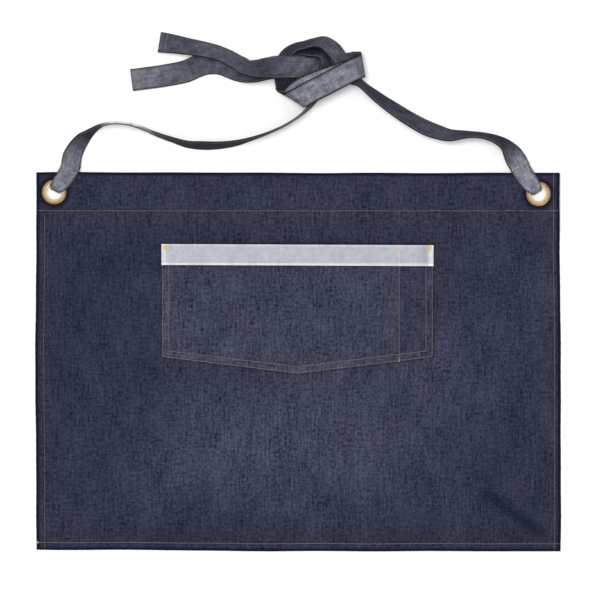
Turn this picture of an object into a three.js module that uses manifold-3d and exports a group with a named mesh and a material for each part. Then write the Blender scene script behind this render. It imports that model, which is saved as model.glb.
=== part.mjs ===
// Waist apron of dark denim, lying flat and face up: cloth panel, patch pocket with a pale band,
// brass eyelets, and two ties that are knotted together above the panel.
// Millimetres, +Z up. +Y runs from the bottom hem to the ties, and Z = 0 is the table.

import * as THREE from 'three';
import { mergeVertices } from 'three/addons/utils/BufferGeometryUtils.js';
import Module from 'manifold-3d';

const wasm = await Module();
wasm.setup();

// Driving dimensions: the panel
const panelWidth = 700;
const panelHeight = 505;
const clothThickness = 1.0;
const foldedThickness = 2.4;
const sideHem = 10;
const bottomHem = 9.5;
const topBand = 50;
const creaseHeight = 3;
const gridCell = 26;

// Driving dimensions: the pocket
const pocketWidth = 364;
const pocketSideDepth = 152;
const pocketPointDepth = 175;
const pocketBelowTop = 96;
const pocketSeam = 9;
const penPocketWidth = 46;
const pocketBulge = 6.6;
const bandDepth = 28;
const bandThickness = 1.0;

// Driving dimensions: the eyelets
const eyeletBore = 20;
const eyeletRim = 33;
const eyeletWall = 0.8;
const flangeHeight = 1.5;
const washerThickness = 0.8;
const leftEyeletFromSide = 24;
const leftEyeletFromTop = 26.5;
const rightEyeletFromSide = 28.5;
const rightEyeletFromTop = 29;

// Driving dimensions: the ties and their knot
const tieWidth = 30;
const tieThickness = 2.2;
const loopLength = 45;
const leftTailLength = 140;
const rightTailLength = 106;
const knotAside = 27;
const knotAbove = 134;

// Clearances
const gap = 0.3;
const plyGap = 1.1;

const round = 24;
const degree = Math.PI / 180;

// A smooth step from 1 at zero distance to 0 at one.
function fade(distance) {
  if (distance <= 0) return 1;
  if (distance >= 1) return 0;
  return 0.5 * (1 + Math.cos(Math.PI * distance));
}

function toSegment(x, y, from, to) {
  const alongX = to.x - from.x;
  const alongY = to.y - from.y;
  const share = ((x - from.x) * alongX + (y - from.y) * alongY) / (alongX * alongX + alongY * alongY);
  const held = Math.min(1, Math.max(0, share));
  return Math.hypot(x - from.x - held * alongX, y - from.y - held * alongY);
}

// A closed mesh from a list of points and a list of triangles.
function closedGeometry(points, triangles) {
  const geometry = new THREE.BufferGeometry();
  geometry.setAttribute('position', new THREE.Float32BufferAttribute(points.flat(), 3));
  geometry.setIndex(triangles.flat());
  geometry.computeVertexNormals();
  return geometry;
}

// A sheet of cloth over a grid. place(column, row) gives x, y and the heights of its two faces.
function sheet(columns, rows, place) {
  const points = [];
  const triangles = [];
  const layer = columns * rows;
  const spots = [];
  for (let row = 0; row < rows; row++) {
    for (let column = 0; column < columns; column++) spots.push(place(column, row));
  }
  for (const spot of spots) points.push([spot.x, spot.y, spot.under]);
  for (const spot of spots) points.push([spot.x, spot.y, spot.over]);
  const index = (column, row) => row * columns + column;
  for (let row = 0; row + 1 < rows; row++) {
    for (let column = 0; column + 1 < columns; column++) {
      const a = index(column, row);
      const b = index(column + 1, row);
      const c = index(column + 1, row + 1);
      const d = index(column, row + 1);
      triangles.push([a, c, b], [a, d, c]);
      triangles.push([layer + a, layer + b, layer + c], [layer + a, layer + c, layer + d]);
    }
  }
  const rim = [];
  for (let column = 0; column + 1 < columns; column++) rim.push(index(column, 0));
  for (let row = 0; row + 1 < rows; row++) rim.push(index(columns - 1, row));
  for (let column = columns - 1; column > 0; column--) rim.push(index(column, rows - 1));
  for (let row = rows - 1; row > 0; row--) rim.push(index(0, row));
  for (let at = 0; at < rim.length; at++) {
    const here = rim[at];
    const next = rim[(at + 1) % rim.length];
    triangles.push([here, next, layer + next], [here, layer + next, layer + here]);
  }
  return closedGeometry(points, triangles);
}

// Solids for cutting, and the way back to three.js.
function solidOf(geometry) {
  const bare = geometry.clone();
  bare.deleteAttribute('normal');
  bare.deleteAttribute('uv');
  const merged = mergeVertices(bare, 1e-5);
  return new wasm.Manifold(new wasm.Mesh({
    numProp: 3,
    vertProperties: new Float32Array(merged.attributes.position.array),
    triVerts: new Uint32Array(merged.index.array),
  }));
}

function geometryOf(solid) {
  const mesh = solid.getMesh();
  const geometry = new THREE.BufferGeometry();
  geometry.setAttribute('position', new THREE.BufferAttribute(mesh.vertProperties, 3));
  geometry.setIndex(new THREE.BufferAttribute(mesh.triVerts, 1));
  geometry.computeVertexNormals();
  return geometry;
}

// Where the eyelets sit, and which way each tie leaves its eyelet.
const panelTop = panelHeight / 2;
const eyelets = {
  left: {
    x: -panelWidth / 2 + leftEyeletFromSide,
    y: panelTop - leftEyeletFromTop,
    leaves: 63,
    inward: 1,
    asideShare: 1,
    offCentre: 1.0,
  },
  right: {
    x: panelWidth / 2 - rightEyeletFromSide,
    y: panelTop - rightEyeletFromTop,
    leaves: 123,
    inward: -1,
    asideShare: 0.4,
    offCentre: 1.8,
  },
};

// The stack at an eyelet, from the table up: tie, washer, panel, flange, tie.
const washerUnder = tieThickness + 1.5 * gap;
const panelLift = washerUnder + washerThickness + gap;
const flangeUnder = panelLift + foldedThickness + gap;
const flangeOver = flangeUnder + flangeHeight;
const holeRadius = eyeletBore / 2 + eyeletWall + gap;

// The panel: low creases where the cloth stands off the table, and the corners that the ties lift.
const creases = [
  { x: 0.33, y: -0.33, toX: 0.455, toY: -0.45, width: 0.05, height: 1.0 },
  { x: 0.40, y: -0.12, toX: 0.43, toY: 0.12, width: 0.045, height: 0.55 },
  { x: -0.41, y: -0.40, toX: -0.37, toY: 0.05, width: 0.05, height: 0.6 },
  { x: -0.22, y: -0.45, toX: -0.06, toY: -0.40, width: 0.045, height: 0.7 },
  { x: 0.10, y: -0.30, toX: 0.13, toY: -0.46, width: 0.04, height: 0.5 },
];

function panelUnder(x, y) {
  let height = 0;
  for (const crease of creases) {
    const from = { x: crease.x * panelWidth, y: crease.y * panelHeight };
    const to = { x: crease.toX * panelWidth, y: crease.toY * panelHeight };
    const away = toSegment(x, y, from, to) / (crease.width * panelWidth);
    height = Math.max(height, creaseHeight * crease.height * fade(away));
  }
  for (const side of Object.values(eyelets)) {
    const out = (panelTop - side.y) / Math.sin(side.leaves * degree);
    const edge = { x: side.x + out * Math.cos(side.leaves * degree), y: panelTop };
    const level = eyeletRim / 2 + 10;
    const away = (toSegment(x, y, side, edge) - level) / (2.2 * tieWidth);
    height = Math.max(height, panelLift * fade(away));
  }
  return height;
}

function panelLayers(x, y) {
  const inHem = Math.abs(x) > panelWidth / 2 - sideHem - 0.1 || y < -panelTop + bottomHem + 0.1;
  const inBand = y > panelTop - topBand - 0.1;
  return inHem || inBand ? foldedThickness : clothThickness;
}

// Grid lines across one direction: the named lines, and even ones between them.
function gridLines(low, high, named) {
  const lines = [low, ...named, high].sort((a, b) => a - b);
  const all = [low];
  for (let at = 1; at < lines.length; at++) {
    const span = lines[at] - lines[at - 1];
    const cells = Math.max(1, Math.round(span / gridCell));
    for (let cell = 1; cell <= cells; cell++) all.push(lines[at - 1] + (span * cell) / cells);
  }
  return all;
}

function panelGeometry() {
  const step = foldedThickness - clothThickness;
  const reach = eyeletRim / 2 + 3;
  const columns = gridLines(-panelWidth / 2, panelWidth / 2, [
    -panelWidth / 2 + sideHem,
    -panelWidth / 2 + sideHem + step,
    eyelets.left.x + reach,
    eyelets.right.x - reach,
    panelWidth / 2 - sideHem - step,
    panelWidth / 2 - sideHem,
  ]);
  const rows = gridLines(-panelTop, panelTop, [
    -panelTop + bottomHem,
    -panelTop + bottomHem + step,
    panelTop - topBand - step,
    panelTop - topBand,
    panelTop - topBand / 2,
  ]);
  const cloth = sheet(columns.length, rows.length, (column, row) => {
    const x = columns[column];
    const y = rows[row];
    const under = panelUnder(x, y);
    return { x, y, under, over: under + panelLayers(x, y) };
  });
  let solid = solidOf(cloth);
  for (const side of Object.values(eyelets)) {
    const cutter = new THREE.CylinderGeometry(holeRadius, holeRadius, 4 * flangeOver, round);
    cutter.rotateX(Math.PI / 2);
    cutter.translate(side.x, side.y, 0);
    solid = solid.subtract(solidOf(cutter));
  }
  return geometryOf(solid);
}

// The pocket: a pointed patch, sewn down at its sides, its bottom and its divider, and open above.
const pocketTop = panelTop - pocketBelowTop;
const dividerX = pocketWidth / 2 - penPocketWidth;
const pocketMiddle = -0.001 * panelWidth;

function pocketDepthAt(x) {
  const out = Math.abs(x) / (pocketWidth / 2);
  return pocketPointDepth + (pocketSideDepth - pocketPointDepth) * out;
}

// How far the pocket stands off the panel, at x from its middle and at a share of its depth.
function pocketHollow(x, share) {
  const left = x < dividerX ? -pocketWidth / 2 + pocketSeam : dividerX + pocketSeam / 2;
  const right = x < dividerX ? dividerX - pocketSeam / 2 : pocketWidth / 2 - pocketSeam;
  const across = (x - left) / (right - left);
  if (across <= 0 || across >= 1) return 0;
  const seamShare = 1 - pocketSeam / pocketDepthAt(x);
  const down = Math.min(1, share / seamShare);
  return pocketBulge * Math.pow(Math.sin(Math.PI * across), 0.6) * Math.pow(1 - down * down, 0.7);
}

function pocketOver(x, share) {
  return clothThickness + gap + pocketHollow(x, share) + clothThickness;
}

function pocketColumns() {
  const named = [
    -pocketWidth / 2 + pocketSeam,
    -pocketWidth / 2 + 2.2 * pocketSeam,
    dividerX - 1.7 * pocketSeam,
    dividerX - pocketSeam / 2,
    dividerX + pocketSeam / 2,
    pocketWidth / 2 - pocketSeam,
  ];
  const lines = gridLines(-pocketWidth / 2, pocketWidth / 2, named);
  const penMiddle = (dividerX + pocketSeam / 2 + pocketWidth / 2 - pocketSeam) / 2;
  const penQuarter = (penMiddle - dividerX - pocketSeam / 2) / 2;
  lines.push(penMiddle - penQuarter, penMiddle + penQuarter);
  return lines.sort((a, b) => a - b);
}

function pocketGeometry() {
  const columns = pocketColumns();
  const seamRow = 1 - pocketSeam / pocketPointDepth;
  const rows = [0, 0.08, 0.17, 0.30, 0.45, 0.60, 0.75, 0.87, seamRow, 1];
  return sheet(columns.length, rows.length, (column, row) => {
    const x = columns[column];
    const depth = rows[rows.length - 1 - row];
    const over = pocketOver(x, depth);
    const y = pocketTop - depth * pocketDepthAt(x);
    return { x: x + pocketMiddle, y, under: over - clothThickness, over };
  });
}

function pocketBandGeometry() {
  const columns = pocketColumns();
  const rows = 4;
  return sheet(columns.length, rows, (column, row) => {
    const x = columns[column];
    const down = bandDepth * (1 - row / (rows - 1));
    const share = down / pocketDepthAt(x);
    const under = pocketOver(x, share) + 1.4 * gap;
    return { x: x + pocketMiddle, y: pocketTop - down, under, over: under + bandThickness };
  });
}

// An eyelet is one turned piece: the domed flange on the face of the cloth and the barrel through it.
function eyeletGeometry(side) {
  const bore = eyeletBore / 2;
  const rim = eyeletRim / 2;
  const middle = (bore + rim) / 2;
  const profile = [
    [bore, washerUnder + gap],
    [bore + eyeletWall, washerUnder + gap],
    [bore + eyeletWall, flangeUnder],
    [rim, flangeUnder],
    [rim, flangeUnder + 0.35 * flangeHeight],
    [rim - 1.6, flangeUnder + 0.85 * flangeHeight],
    [middle, flangeOver],
    [bore + 1.4, flangeUnder + 0.9 * flangeHeight],
    [bore, flangeUnder + 0.35 * flangeHeight],
  ];
  profile.push(profile[0]);
  return turned(profile, side);
}

function washerGeometry(side) {
  const inner = eyeletBore / 2 + eyeletWall + gap;
  const outer = eyeletRim / 2 - 1;
  const profile = [
    [inner, washerUnder],
    [outer, washerUnder],
    [outer, washerUnder + washerThickness],
    [inner, washerUnder + washerThickness],
    [inner, washerUnder],
  ];
  return turned(profile, side);
}

function turned(profile, side) {
  const points = profile.map(([radius, height]) => new THREE.Vector2(radius, height));
  const geometry = new THREE.LatheGeometry(points, round);
  geometry.rotateX(Math.PI / 2);
  geometry.translate(side.x, side.y, 0);
  return geometryOf(solidOf(geometry));
}

// A tie is a flat strap swept through stations. Each station has its place, the direction of its
// leading edge, and its breadth and thickness as shares of the strap's own.
function edgeDirection(bearing, lift) {
  const level = Math.cos(lift * degree);
  return new THREE.Vector3(
    level * Math.cos(bearing * degree),
    level * Math.sin(bearing * degree),
    Math.sin(lift * degree),
  );
}

function station(x, y, z, bearing, lift, breadth = 1, thickness = 1) {
  return { at: new THREE.Vector3(x, y, z), edge: edgeDirection(bearing, lift), breadth, thickness };
}

// The height of a strap's middle when its lower edge rests on the table, with a little to spare
// because the curve sags between stations.
function restingHeight(lift) {
  const spare = 0.12 * tieThickness;
  return (tieWidth / 2) * Math.abs(Math.sin(lift * degree)) + (tieThickness / 2) * Math.cos(lift * degree) + spare;
}

function strapGeometry(stations) {
  const places = new THREE.CatmullRomCurve3(stations.map((one) => one.at), false, 'centripetal');
  const edges = new THREE.CatmullRomCurve3(stations.map((one) => one.edge), false, 'catmullrom');
  const spans = stations.length - 1;
  const shares = [0];
  for (let span = 0; span < spans; span++) {
    const length = stations[span].at.distanceTo(stations[span + 1].at);
    const before = places.getTangent(Math.max(0, span - 0.02) / spans);
    const after = places.getTangent(Math.min(spans, span + 1.02) / spans);
    const turn = before.angleTo(after) + stations[span].edge.angleTo(stations[span + 1].edge);
    const free = Math.max(1, Math.ceil(length / 22), Math.ceil(turn / (26 * degree)));
    const steps = stations[span].steps ?? free;
    for (let step = 1; step <= steps; step++) shares.push((span + step / steps) / spans);
  }
  const rings = shares.map((share) => {
    const at = places.getPoint(share);
    const along = places.getTangent(share);
    const edge = edges.getPoint(share).normalize();
    const face = new THREE.Vector3().crossVectors(along, edge);
    const square = Math.max(0.6, face.length());
    face.normalize();
    const span = Math.min(spans - 1, Math.floor(share * spans));
    const within = share * spans - span;
    const blend = (name) => stations[span][name] * (1 - within) + stations[span + 1][name] * within;
    const half = (blend('breadth') * tieWidth) / 2 / square;
    const deep = (blend('thickness') * tieThickness) / 2;
    return { at, edge, face, half, deep };
  });
  return sweep(rings);
}

function sweep(rings) {
  const points = [];
  const triangles = [];
  for (const ring of rings) {
    const flat = ring.half - 0.9 * ring.deep;
    const section = [
      [-ring.half, 0],
      [-flat, -ring.deep],
      [0, -ring.deep],
      [flat, -ring.deep],
      [ring.half, 0],
      [flat, ring.deep],
      [0, ring.deep],
      [-flat, ring.deep],
    ];
    for (const [side, up] of section) {
      const point = ring.at.clone().addScaledVector(ring.edge, side).addScaledVector(ring.face, up);
      points.push(point.toArray());
    }
  }
  const sides = 8;
  for (let ring = 0; ring + 1 < rings.length; ring++) {
    for (let side = 0; side < sides; side++) {
      const a = ring * sides + side;
      const b = ring * sides + ((side + 1) % sides);
      triangles.push([a, b, b + sides], [a, b + sides, a + sides]);
    }
  }
  const last = (rings.length - 1) * sides;
  for (let side = 1; side + 1 < sides; side++) {
    triangles.push([0, side + 1, side]);
    triangles.push([last, last + side, last + side + 1]);
  }
  return closedGeometry(points, triangles);
}

// The loop through the eyelet, from the sewn-back end under the panel to the sewing above its edge.
// out is the distance from the middle of the hole, and aside the shift towards the panel's middle.
function loopStations(side) {
  const half = tieThickness / 2;
  const backHeight = half;
  const frontHeight = flangeOver + gap + half;
  const turnRadius = (frontHeight - backHeight) / 2;
  const apex = side.offCentre + 1.3 * half;
  const level = apex + turnRadius;
  const overPanel = panelLift + foldedThickness + gap + half;
  const sewnBack = backHeight + 0.6 * half;
  const rows = [
    { out: 1.05 * loopLength, aside: 0.08, height: sewnBack + 0.5 * half, breadth: 0.90, thickness: 1 },
    { out: 0.92 * loopLength, aside: 0.12, height: sewnBack, breadth: 0.88, thickness: 1 },
    { out: 0.75 * loopLength, aside: 0.16, height: backHeight, breadth: 0.85, thickness: 1 },
    { out: 0.55 * loopLength, aside: 0.14, height: backHeight, breadth: 0.80, thickness: 1 },
    { out: eyeletRim / 2, aside: 0.08, height: backHeight, breadth: 0.70, thickness: 1 },
    { out: level + 1.5, aside: 0.03, height: backHeight, breadth: 0.56, thickness: 1 },
    { out: apex + 0.3 * turnRadius, aside: 0, height: backHeight + 0.3 * turnRadius, breadth: 0.48, thickness: 1 },
    { out: apex, aside: 0, height: backHeight + turnRadius, breadth: 0.46, thickness: 1.1 },
    { out: apex + 0.3 * turnRadius, aside: 0, height: frontHeight - 0.15 * turnRadius, breadth: 0.46, thickness: 1 },
    { out: level + 1.5, aside: 0.05, height: frontHeight + 0.4, breadth: 0.66, thickness: 1 },
    { out: eyeletRim / 2, aside: 0.10, height: frontHeight, breadth: 0.80, thickness: 1 },
    { out: 0.62 * loopLength, aside: 0.15, height: overPanel + 0.6, breadth: 0.83, thickness: 1 },
    { out: 0.86 * loopLength, aside: 0.14, height: overPanel, breadth: 0.86, thickness: 1 },
    { out: 1.00 * loopLength, aside: 0.08, height: overPanel, breadth: 0.88, thickness: 1 },
  ];
  const alongX = Math.cos(side.leaves * degree);
  const alongY = Math.sin(side.leaves * degree);
  return rows.map((row) => station(
    side.x + row.out * alongX + side.inward * row.aside * tieWidth * side.asideShare * alongY,
    side.y + row.out * alongY - side.inward * row.aside * tieWidth * side.asideShare * alongX,
    row.height,
    side.leaves + 90,
    0,
    row.breadth,
    row.thickness,
  ));
}

// A run between two points, with its rows as shares of the straight line between them.
function spanStations(from, to, rows) {
  const alongX = to.x - from.x;
  const alongY = to.y - from.y;
  return rows.map((row) => station(
    from.x + row.along * alongX - row.across * alongY,
    from.y + row.along * alongY + row.across * alongX,
    restingHeight(row.lift),
    row.bearing,
    row.lift,
    row.breadth,
  ));
}

// The knot, in tie widths from its middle. ply counts strap thicknesses with their clearance.
const knot = { x: knotAside, y: panelTop + knotAbove };
const ply = tieThickness + plyGap;

function knotStation(row) {
  return station(
    knot.x + row.x * tieWidth,
    knot.y + row.y * tieWidth,
    row.rise * tieWidth + row.ply * ply,
    row.bearing,
    row.lift,
    row.breadth ?? 1,
  );
}

const leftEntry = [
  { x: -0.27, y: -1.43, rise: 0.50, ply: 0.10, bearing: 145, lift: 82 },
  { x: -0.04, y: -0.94, rise: 0.46, ply: 0.45, bearing: 156, lift: 67 },
  { x: 0.16, y: -0.45, rise: 0.39, ply: 1.90, bearing: 160, lift: 51 },
  { x: 0.32, y: 0.04, rise: 0.41, ply: 2.10, bearing: 168, lift: 55 },
  { x: 0.34, y: 0.42, rise: 0.44, ply: 3.20, bearing: 190, lift: 62 },
  { x: 0.21, y: 0.73, rise: 0.46, ply: 2.30, bearing: 214, lift: 68 },
  { x: 0.02, y: 0.89, rise: 0.49, ply: 1.00, bearing: 228, lift: 69 },
  { x: -0.23, y: 1.02, rise: 0.50, ply: 0.45, bearing: 246, lift: 68 },
];

const rightEntry = [
  { x: 1.89, y: -0.54, rise: 0.46, ply: 2.20, bearing: 229, lift: 69 },
  { x: 1.45, y: -0.21, rise: 0.32, ply: 2.80, bearing: 223, lift: 40 },
  { x: 1.18, y: 0.25, rise: 0.35, ply: 2.20, bearing: 219, lift: 45 },
  { x: 0.88, y: 0.72, rise: 0.36, ply: 2.15, bearing: 222, lift: 46 },
  { x: 0.59, y: 1.06, rise: 0.35, ply: 1.40, bearing: 231, lift: 45 },
  { x: 0.21, y: 1.31, rise: 0.42, ply: 0.80, bearing: 246, lift: 54 },
  { x: -0.22, y: 1.29, rise: 0.47, ply: 0.60, bearing: 261, lift: 65 },
];

// The stretch where both ties run together, one on each side of these stations.
const pairRows = [
  { x: -0.62, y: 1.12, rise: 0.50, ply: 0.50, bearing: 278, lift: 67, slide: 0 },
  { x: -0.93, y: 1.05, rise: 0.48, ply: 0.55, bearing: 296, lift: 66, slide: 0 },
  { x: -1.21, y: 0.90, rise: 0.45, ply: 0.55, bearing: 320, lift: 61, slide: 0 },
  { x: -1.41, y: 0.66, rise: 0.40, ply: 0.55, bearing: 339, lift: 53, slide: 0 },
  { x: -1.50, y: 0.33, rise: 0.35, ply: 0.68, bearing: 351, lift: 45, slide: 0 },
  { x: -1.52, y: 0.00, rise: 0.29, ply: 0.78, bearing: 361, lift: 35, slide: 0 },
  { x: -1.47, y: -0.33, rise: 0.21, ply: 0.90, bearing: 368, lift: 25, slide: 0 },
  { x: -1.38, y: -0.65, rise: 0.14, ply: 1.00, bearing: 364, lift: 14, slide: 0 },
  { x: -1.27, y: -0.92, rise: 0.14, ply: 1.10, bearing: 350, lift: 5, slide: 0 },
  { x: -1.13, y: -1.12, rise: 0.30, ply: 1.00, bearing: 336, lift: 0, slide: 0.04 },
  { x: -1.06, y: -1.22, rise: 0.56, ply: 1.00, bearing: 328, lift: 0, slide: 0.10 },
  { x: -0.98, y: -1.23, rise: 0.84, ply: 1.00, bearing: 322, lift: 0, slide: 0.18 },
  { x: -0.78, y: -1.16, rise: 0.97, ply: 1.20, bearing: 315, lift: 0, slide: 0.27 },
  { x: -0.45, y: -0.98, rise: 1.00, ply: 1.30, bearing: 303, lift: 0, slide: 0.30 },
  { x: 0.22, y: -0.64, rise: 1.00, ply: 1.35, bearing: 297, lift: 0, slide: 0.24 },
  { x: 0.89, y: -0.29, rise: 1.00, ply: 1.30, bearing: 296, lift: 0, slide: 0.13 },
  { x: 1.43, y: -0.01, rise: 1.00, ply: 1.10, bearing: 291, lift: 0, slide: 0.04 },
  { x: 1.72, y: 0.13, rise: 0.92, ply: 1.10, bearing: 286, lift: 0, slide: 0 },
  { x: 1.90, y: 0.23, rise: 0.76, ply: 0.80, bearing: 282, lift: 0, slide: 0 },
  { x: 1.90, y: 0.37, rise: 0.46, ply: 0.80, bearing: 278, lift: 0, slide: 0, breadth: 0.96 },
  { x: 1.82, y: 0.44, rise: 0.15, ply: 0.80, bearing: 275, lift: 0, slide: 0, breadth: 0.94 },
  { x: 1.66, y: 0.43, rise: 0.02, ply: 0.90, bearing: 273, lift: 0, slide: 0, breadth: 0.96 },
  { x: 1.40, y: 0.36, rise: 0.00, ply: 0.95, bearing: 272, lift: 0, slide: 0 },
  { x: 0.98, y: 0.32, rise: 0.00, ply: 1.00, bearing: 273, lift: 0, slide: 0 },
  { x: 0.58, y: 0.29, rise: 0.00, ply: 0.97, bearing: 274, lift: 0, slide: 0 },
  { x: 0.18, y: 0.26, rise: 0.13, ply: 0.92, bearing: 274, lift: -4, slide: 0 },
  { x: -0.27, y: 0.23, rise: 0.40, ply: 0.90, bearing: 273, lift: -7, slide: 0 },
  { x: -0.71, y: 0.21, rise: 0.69, ply: 0.90, bearing: 272, lift: -8, slide: 0 },
  { x: -1.16, y: 0.20, rise: 0.94, ply: 0.90, bearing: 271, lift: -8, slide: 0 },
  { x: -1.52, y: 0.20, rise: 0.99, ply: 1.00, bearing: 270, lift: -5, slide: 0 },
  { x: -1.88, y: 0.18, rise: 0.95, ply: 1.20, bearing: 270, lift: 0, slide: 0 },
];

const leftTail = [
  { x: -2.32, y: 0.11, rise: 0.82, ply: 0.60, bearing: 272, lift: 3 },
  { x: -2.77, y: 0.02, rise: 0.60, ply: 0.60, bearing: 273, lift: 2 },
  { x: -3.21, y: 0.01, rise: 0.36, ply: 0.60, bearing: 262, lift: 1 },
  { x: -3.66, y: 0.11, rise: 0.14, ply: 0.60, bearing: 252, lift: 1 },
];

const rightTail = [
  { x: -2.23, y: 0.16, rise: 1.00, ply: 1.60, bearing: 268, lift: 22 },
  { x: -2.75, y: 0.08, rise: 0.98, ply: 1.10, bearing: 262, lift: 42 },
  { x: -3.17, y: 0.16, rise: 0.86, ply: 1.00, bearing: 246, lift: 48 },
  { x: -3.55, y: 0.38, rise: 0.57, ply: 0.80, bearing: 238, lift: 49 },
];

// The pair's stations, moved to one side of the shared middle by half a ply. The right tie also
// slides along its own breadth, so that its edge shows beside the left tie's on the front of the knot.
function pairStations(sign) {
  const shared = pairRows.map(knotStation);
  return shared.map((one, at) => {
    const before = shared[Math.max(0, at - 1)].at;
    const after = shared[Math.min(shared.length - 1, at + 1)].at;
    const along = new THREE.Vector3().subVectors(after, before).normalize();
    const face = new THREE.Vector3().crossVectors(along, one.edge).normalize();
    const place = one.at.clone().addScaledVector(face, (sign * 1.06 * ply) / 2);
    if (sign > 0) place.addScaledVector(one.edge, -pairRows[at].slide * tieWidth);
    return { ...one, at: place, steps: 3 };
  });
}

// The free tails, along their own length from where the knot lets them go.
const leftTailRun = [
  { along: 0.153, up: 0.057, bearing: 260, lift: 1 },
  { along: 0.287, up: 0.057, bearing: 279, lift: 2 },
  { along: 0.383, up: 0.026, bearing: 291, lift: 3 },
  { along: 0.479, up: -0.016, bearing: 289, lift: 4 },
  { along: 0.680, up: -0.057, bearing: 280, lift: 5 },
  { along: 0.843, up: -0.080, bearing: 278, lift: 5 },
  { along: 1.000, up: -0.100, bearing: 278, lift: 7 },
];

const rightTailRun = [
  { along: 0.141, up: 0.080, bearing: 244, lift: 47 },
  { along: 0.276, up: 0.135, bearing: 251, lift: 46 },
  { along: 0.449, up: 0.176, bearing: 257, lift: 43 },
  { along: 0.595, up: 0.204, bearing: 259, lift: 41 },
  { along: 0.766, up: 0.235, bearing: 260, lift: 34 },
  { along: 0.911, up: 0.258, bearing: 261, lift: 25 },
  { along: 1.000, up: 0.268, bearing: 261, lift: 20 },
];

function tailStations(start, length, rows) {
  return rows.map((row) => station(
    start.x - row.along * length,
    start.y + row.up * length,
    restingHeight(row.lift),
    row.bearing,
    row.lift,
  ));
}

const leftSpan = [
  { along: 0.019, across: 0.034, bearing: 157, lift: 28, breadth: 0.92 },
  { along: 0.047, across: 0.063, bearing: 145, lift: 46, breadth: 0.98 },
  { along: 0.072, across: 0.082, bearing: 136, lift: 56, breadth: 1 },
  { along: 0.092, across: 0.092, bearing: 130, lift: 67, breadth: 1 },
  { along: 0.121, across: 0.106, bearing: 124, lift: 78, breadth: 1 },
  { along: 0.148, across: 0.115, bearing: 116, lift: 84, breadth: 1 },
  { along: 0.182, across: 0.118, bearing: 100, lift: 88, breadth: 1 },
  { along: 0.245, across: 0.103, bearing: 83, lift: 88, breadth: 1 },
  { along: 0.304, across: 0.072, bearing: 72, lift: 86, breadth: 1 },
  { along: 0.360, across: 0.031, bearing: 70, lift: 83, breadth: 1 },
  { along: 0.417, across: -0.006, bearing: 72, lift: 80, breadth: 1 },
  { along: 0.475, across: -0.040, bearing: 80, lift: 75, breadth: 1 },
  { along: 0.537, across: -0.060, bearing: 89, lift: 71, breadth: 1 },
  { along: 0.600, across: -0.074, bearing: 95, lift: 74, breadth: 1 },
  { along: 0.665, across: -0.081, bearing: 102, lift: 79, breadth: 1 },
  { along: 0.731, across: -0.079, bearing: 108, lift: 83, breadth: 1 },
  { along: 0.800, across: -0.072, bearing: 112, lift: 85, breadth: 1 },
  { along: 0.869, across: -0.059, bearing: 119, lift: 86, breadth: 1 },
  { along: 0.942, across: -0.034, bearing: 130, lift: 85, breadth: 1 },
];

const rightSpan = [
  { along: 0.037, across: -0.024, bearing: 211, lift: 16, breadth: 0.97 },
  { along: 0.077, across: -0.048, bearing: 217, lift: 36, breadth: 1 },
  { along: 0.135, across: -0.070, bearing: 232, lift: 58, breadth: 1 },
  { along: 0.204, across: -0.069, bearing: 250, lift: 69, breadth: 1 },
  { along: 0.273, across: -0.052, bearing: 261, lift: 74, breadth: 1 },
  { along: 0.345, across: -0.020, bearing: 269, lift: 71, breadth: 1 },
  { along: 0.423, across: 0.025, bearing: 264, lift: 57, breadth: 1 },
  { along: 0.490, across: 0.041, bearing: 252, lift: 49, breadth: 1 },
  { along: 0.561, across: 0.050, bearing: 245, lift: 46, breadth: 1 },
  { along: 0.664, across: 0.048, bearing: 239, lift: 49, breadth: 1 },
  { along: 0.771, across: 0.038, bearing: 235, lift: 53, breadth: 1 },
  { along: 0.880, across: 0.023, bearing: 233, lift: 61, breadth: 1 },
];

function tieGeometry(side, span, entry, sign, tail, tailLength, tailRun) {
  const loop = loopStations(side);
  const entryStations = entry.map(knotStation);
  const tailTop = tail.map(knotStation);
  const from = loop[loop.length - 1].at;
  const run = spanStations(from, entryStations[0].at, span);
  const lastOfKnot = tailTop[tailTop.length - 1].at;
  return strapGeometry([
    ...loop,
    ...run,
    ...entryStations,
    ...pairStations(sign),
    ...tailTop,
    ...tailStations(lastOfKnot, tailLength, tailRun),
  ]);
}

// Looks of each piece
const denim = { color: 0x343a4c, roughness: 0.93, metalness: 0 };
const strapDenim = { color: 0x5a5f6b, roughness: 0.93, metalness: 0 };
const paleDenim = { color: 0xbebfc7, roughness: 0.93, metalness: 0 };
const brass = { color: 0xc8a468, roughness: 0.32, metalness: 1 };

const apron = new THREE.Group();

function addPiece(name, geometry, looks) {
  const piece = new THREE.Mesh(geometry, new THREE.MeshStandardMaterial(looks));
  piece.name = name;
  apron.add(piece);
}

addPiece('apron_panel', panelGeometry(), denim);
addPiece('pocket', pocketGeometry(), denim);
addPiece('pocket_band', pocketBandGeometry(), paleDenim);
for (const [name, side] of Object.entries(eyelets)) {
  addPiece(`eyelet_${name}`, eyeletGeometry(side), brass);
  addPiece(`eyelet_washer_${name}`, washerGeometry(side), brass);
}
addPiece(
  'tie_left',
  tieGeometry(eyelets.left, leftSpan, leftEntry, -1, leftTail, leftTailLength, leftTailRun),
  strapDenim,
);
addPiece(
  'tie_right',
  tieGeometry(eyelets.right, rightSpan, rightEntry, 1, rightTail, rightTailLength, rightTailRun),
  strapDenim,
);

// The whole apron stands on its own footprint's middle.
const extent = new THREE.Box3().setFromObject(apron);
apron.position.set(-(extent.min.x + extent.max.x) / 2, -(extent.min.y + extent.max.y) / 2, -extent.min.z);
apron.updateMatrixWorld(true);

export default apron;
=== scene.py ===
"""Waist apron of dark denim, lying face up: cloth, seams, brass eyelets and two knotted ties.

The frame gives the place and size of every solid. The cloth here follows the same sizes at a finer
scale, with rolled hems, real stitches and woven materials. Sizes below are in millimetres.
"""

import math

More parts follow.
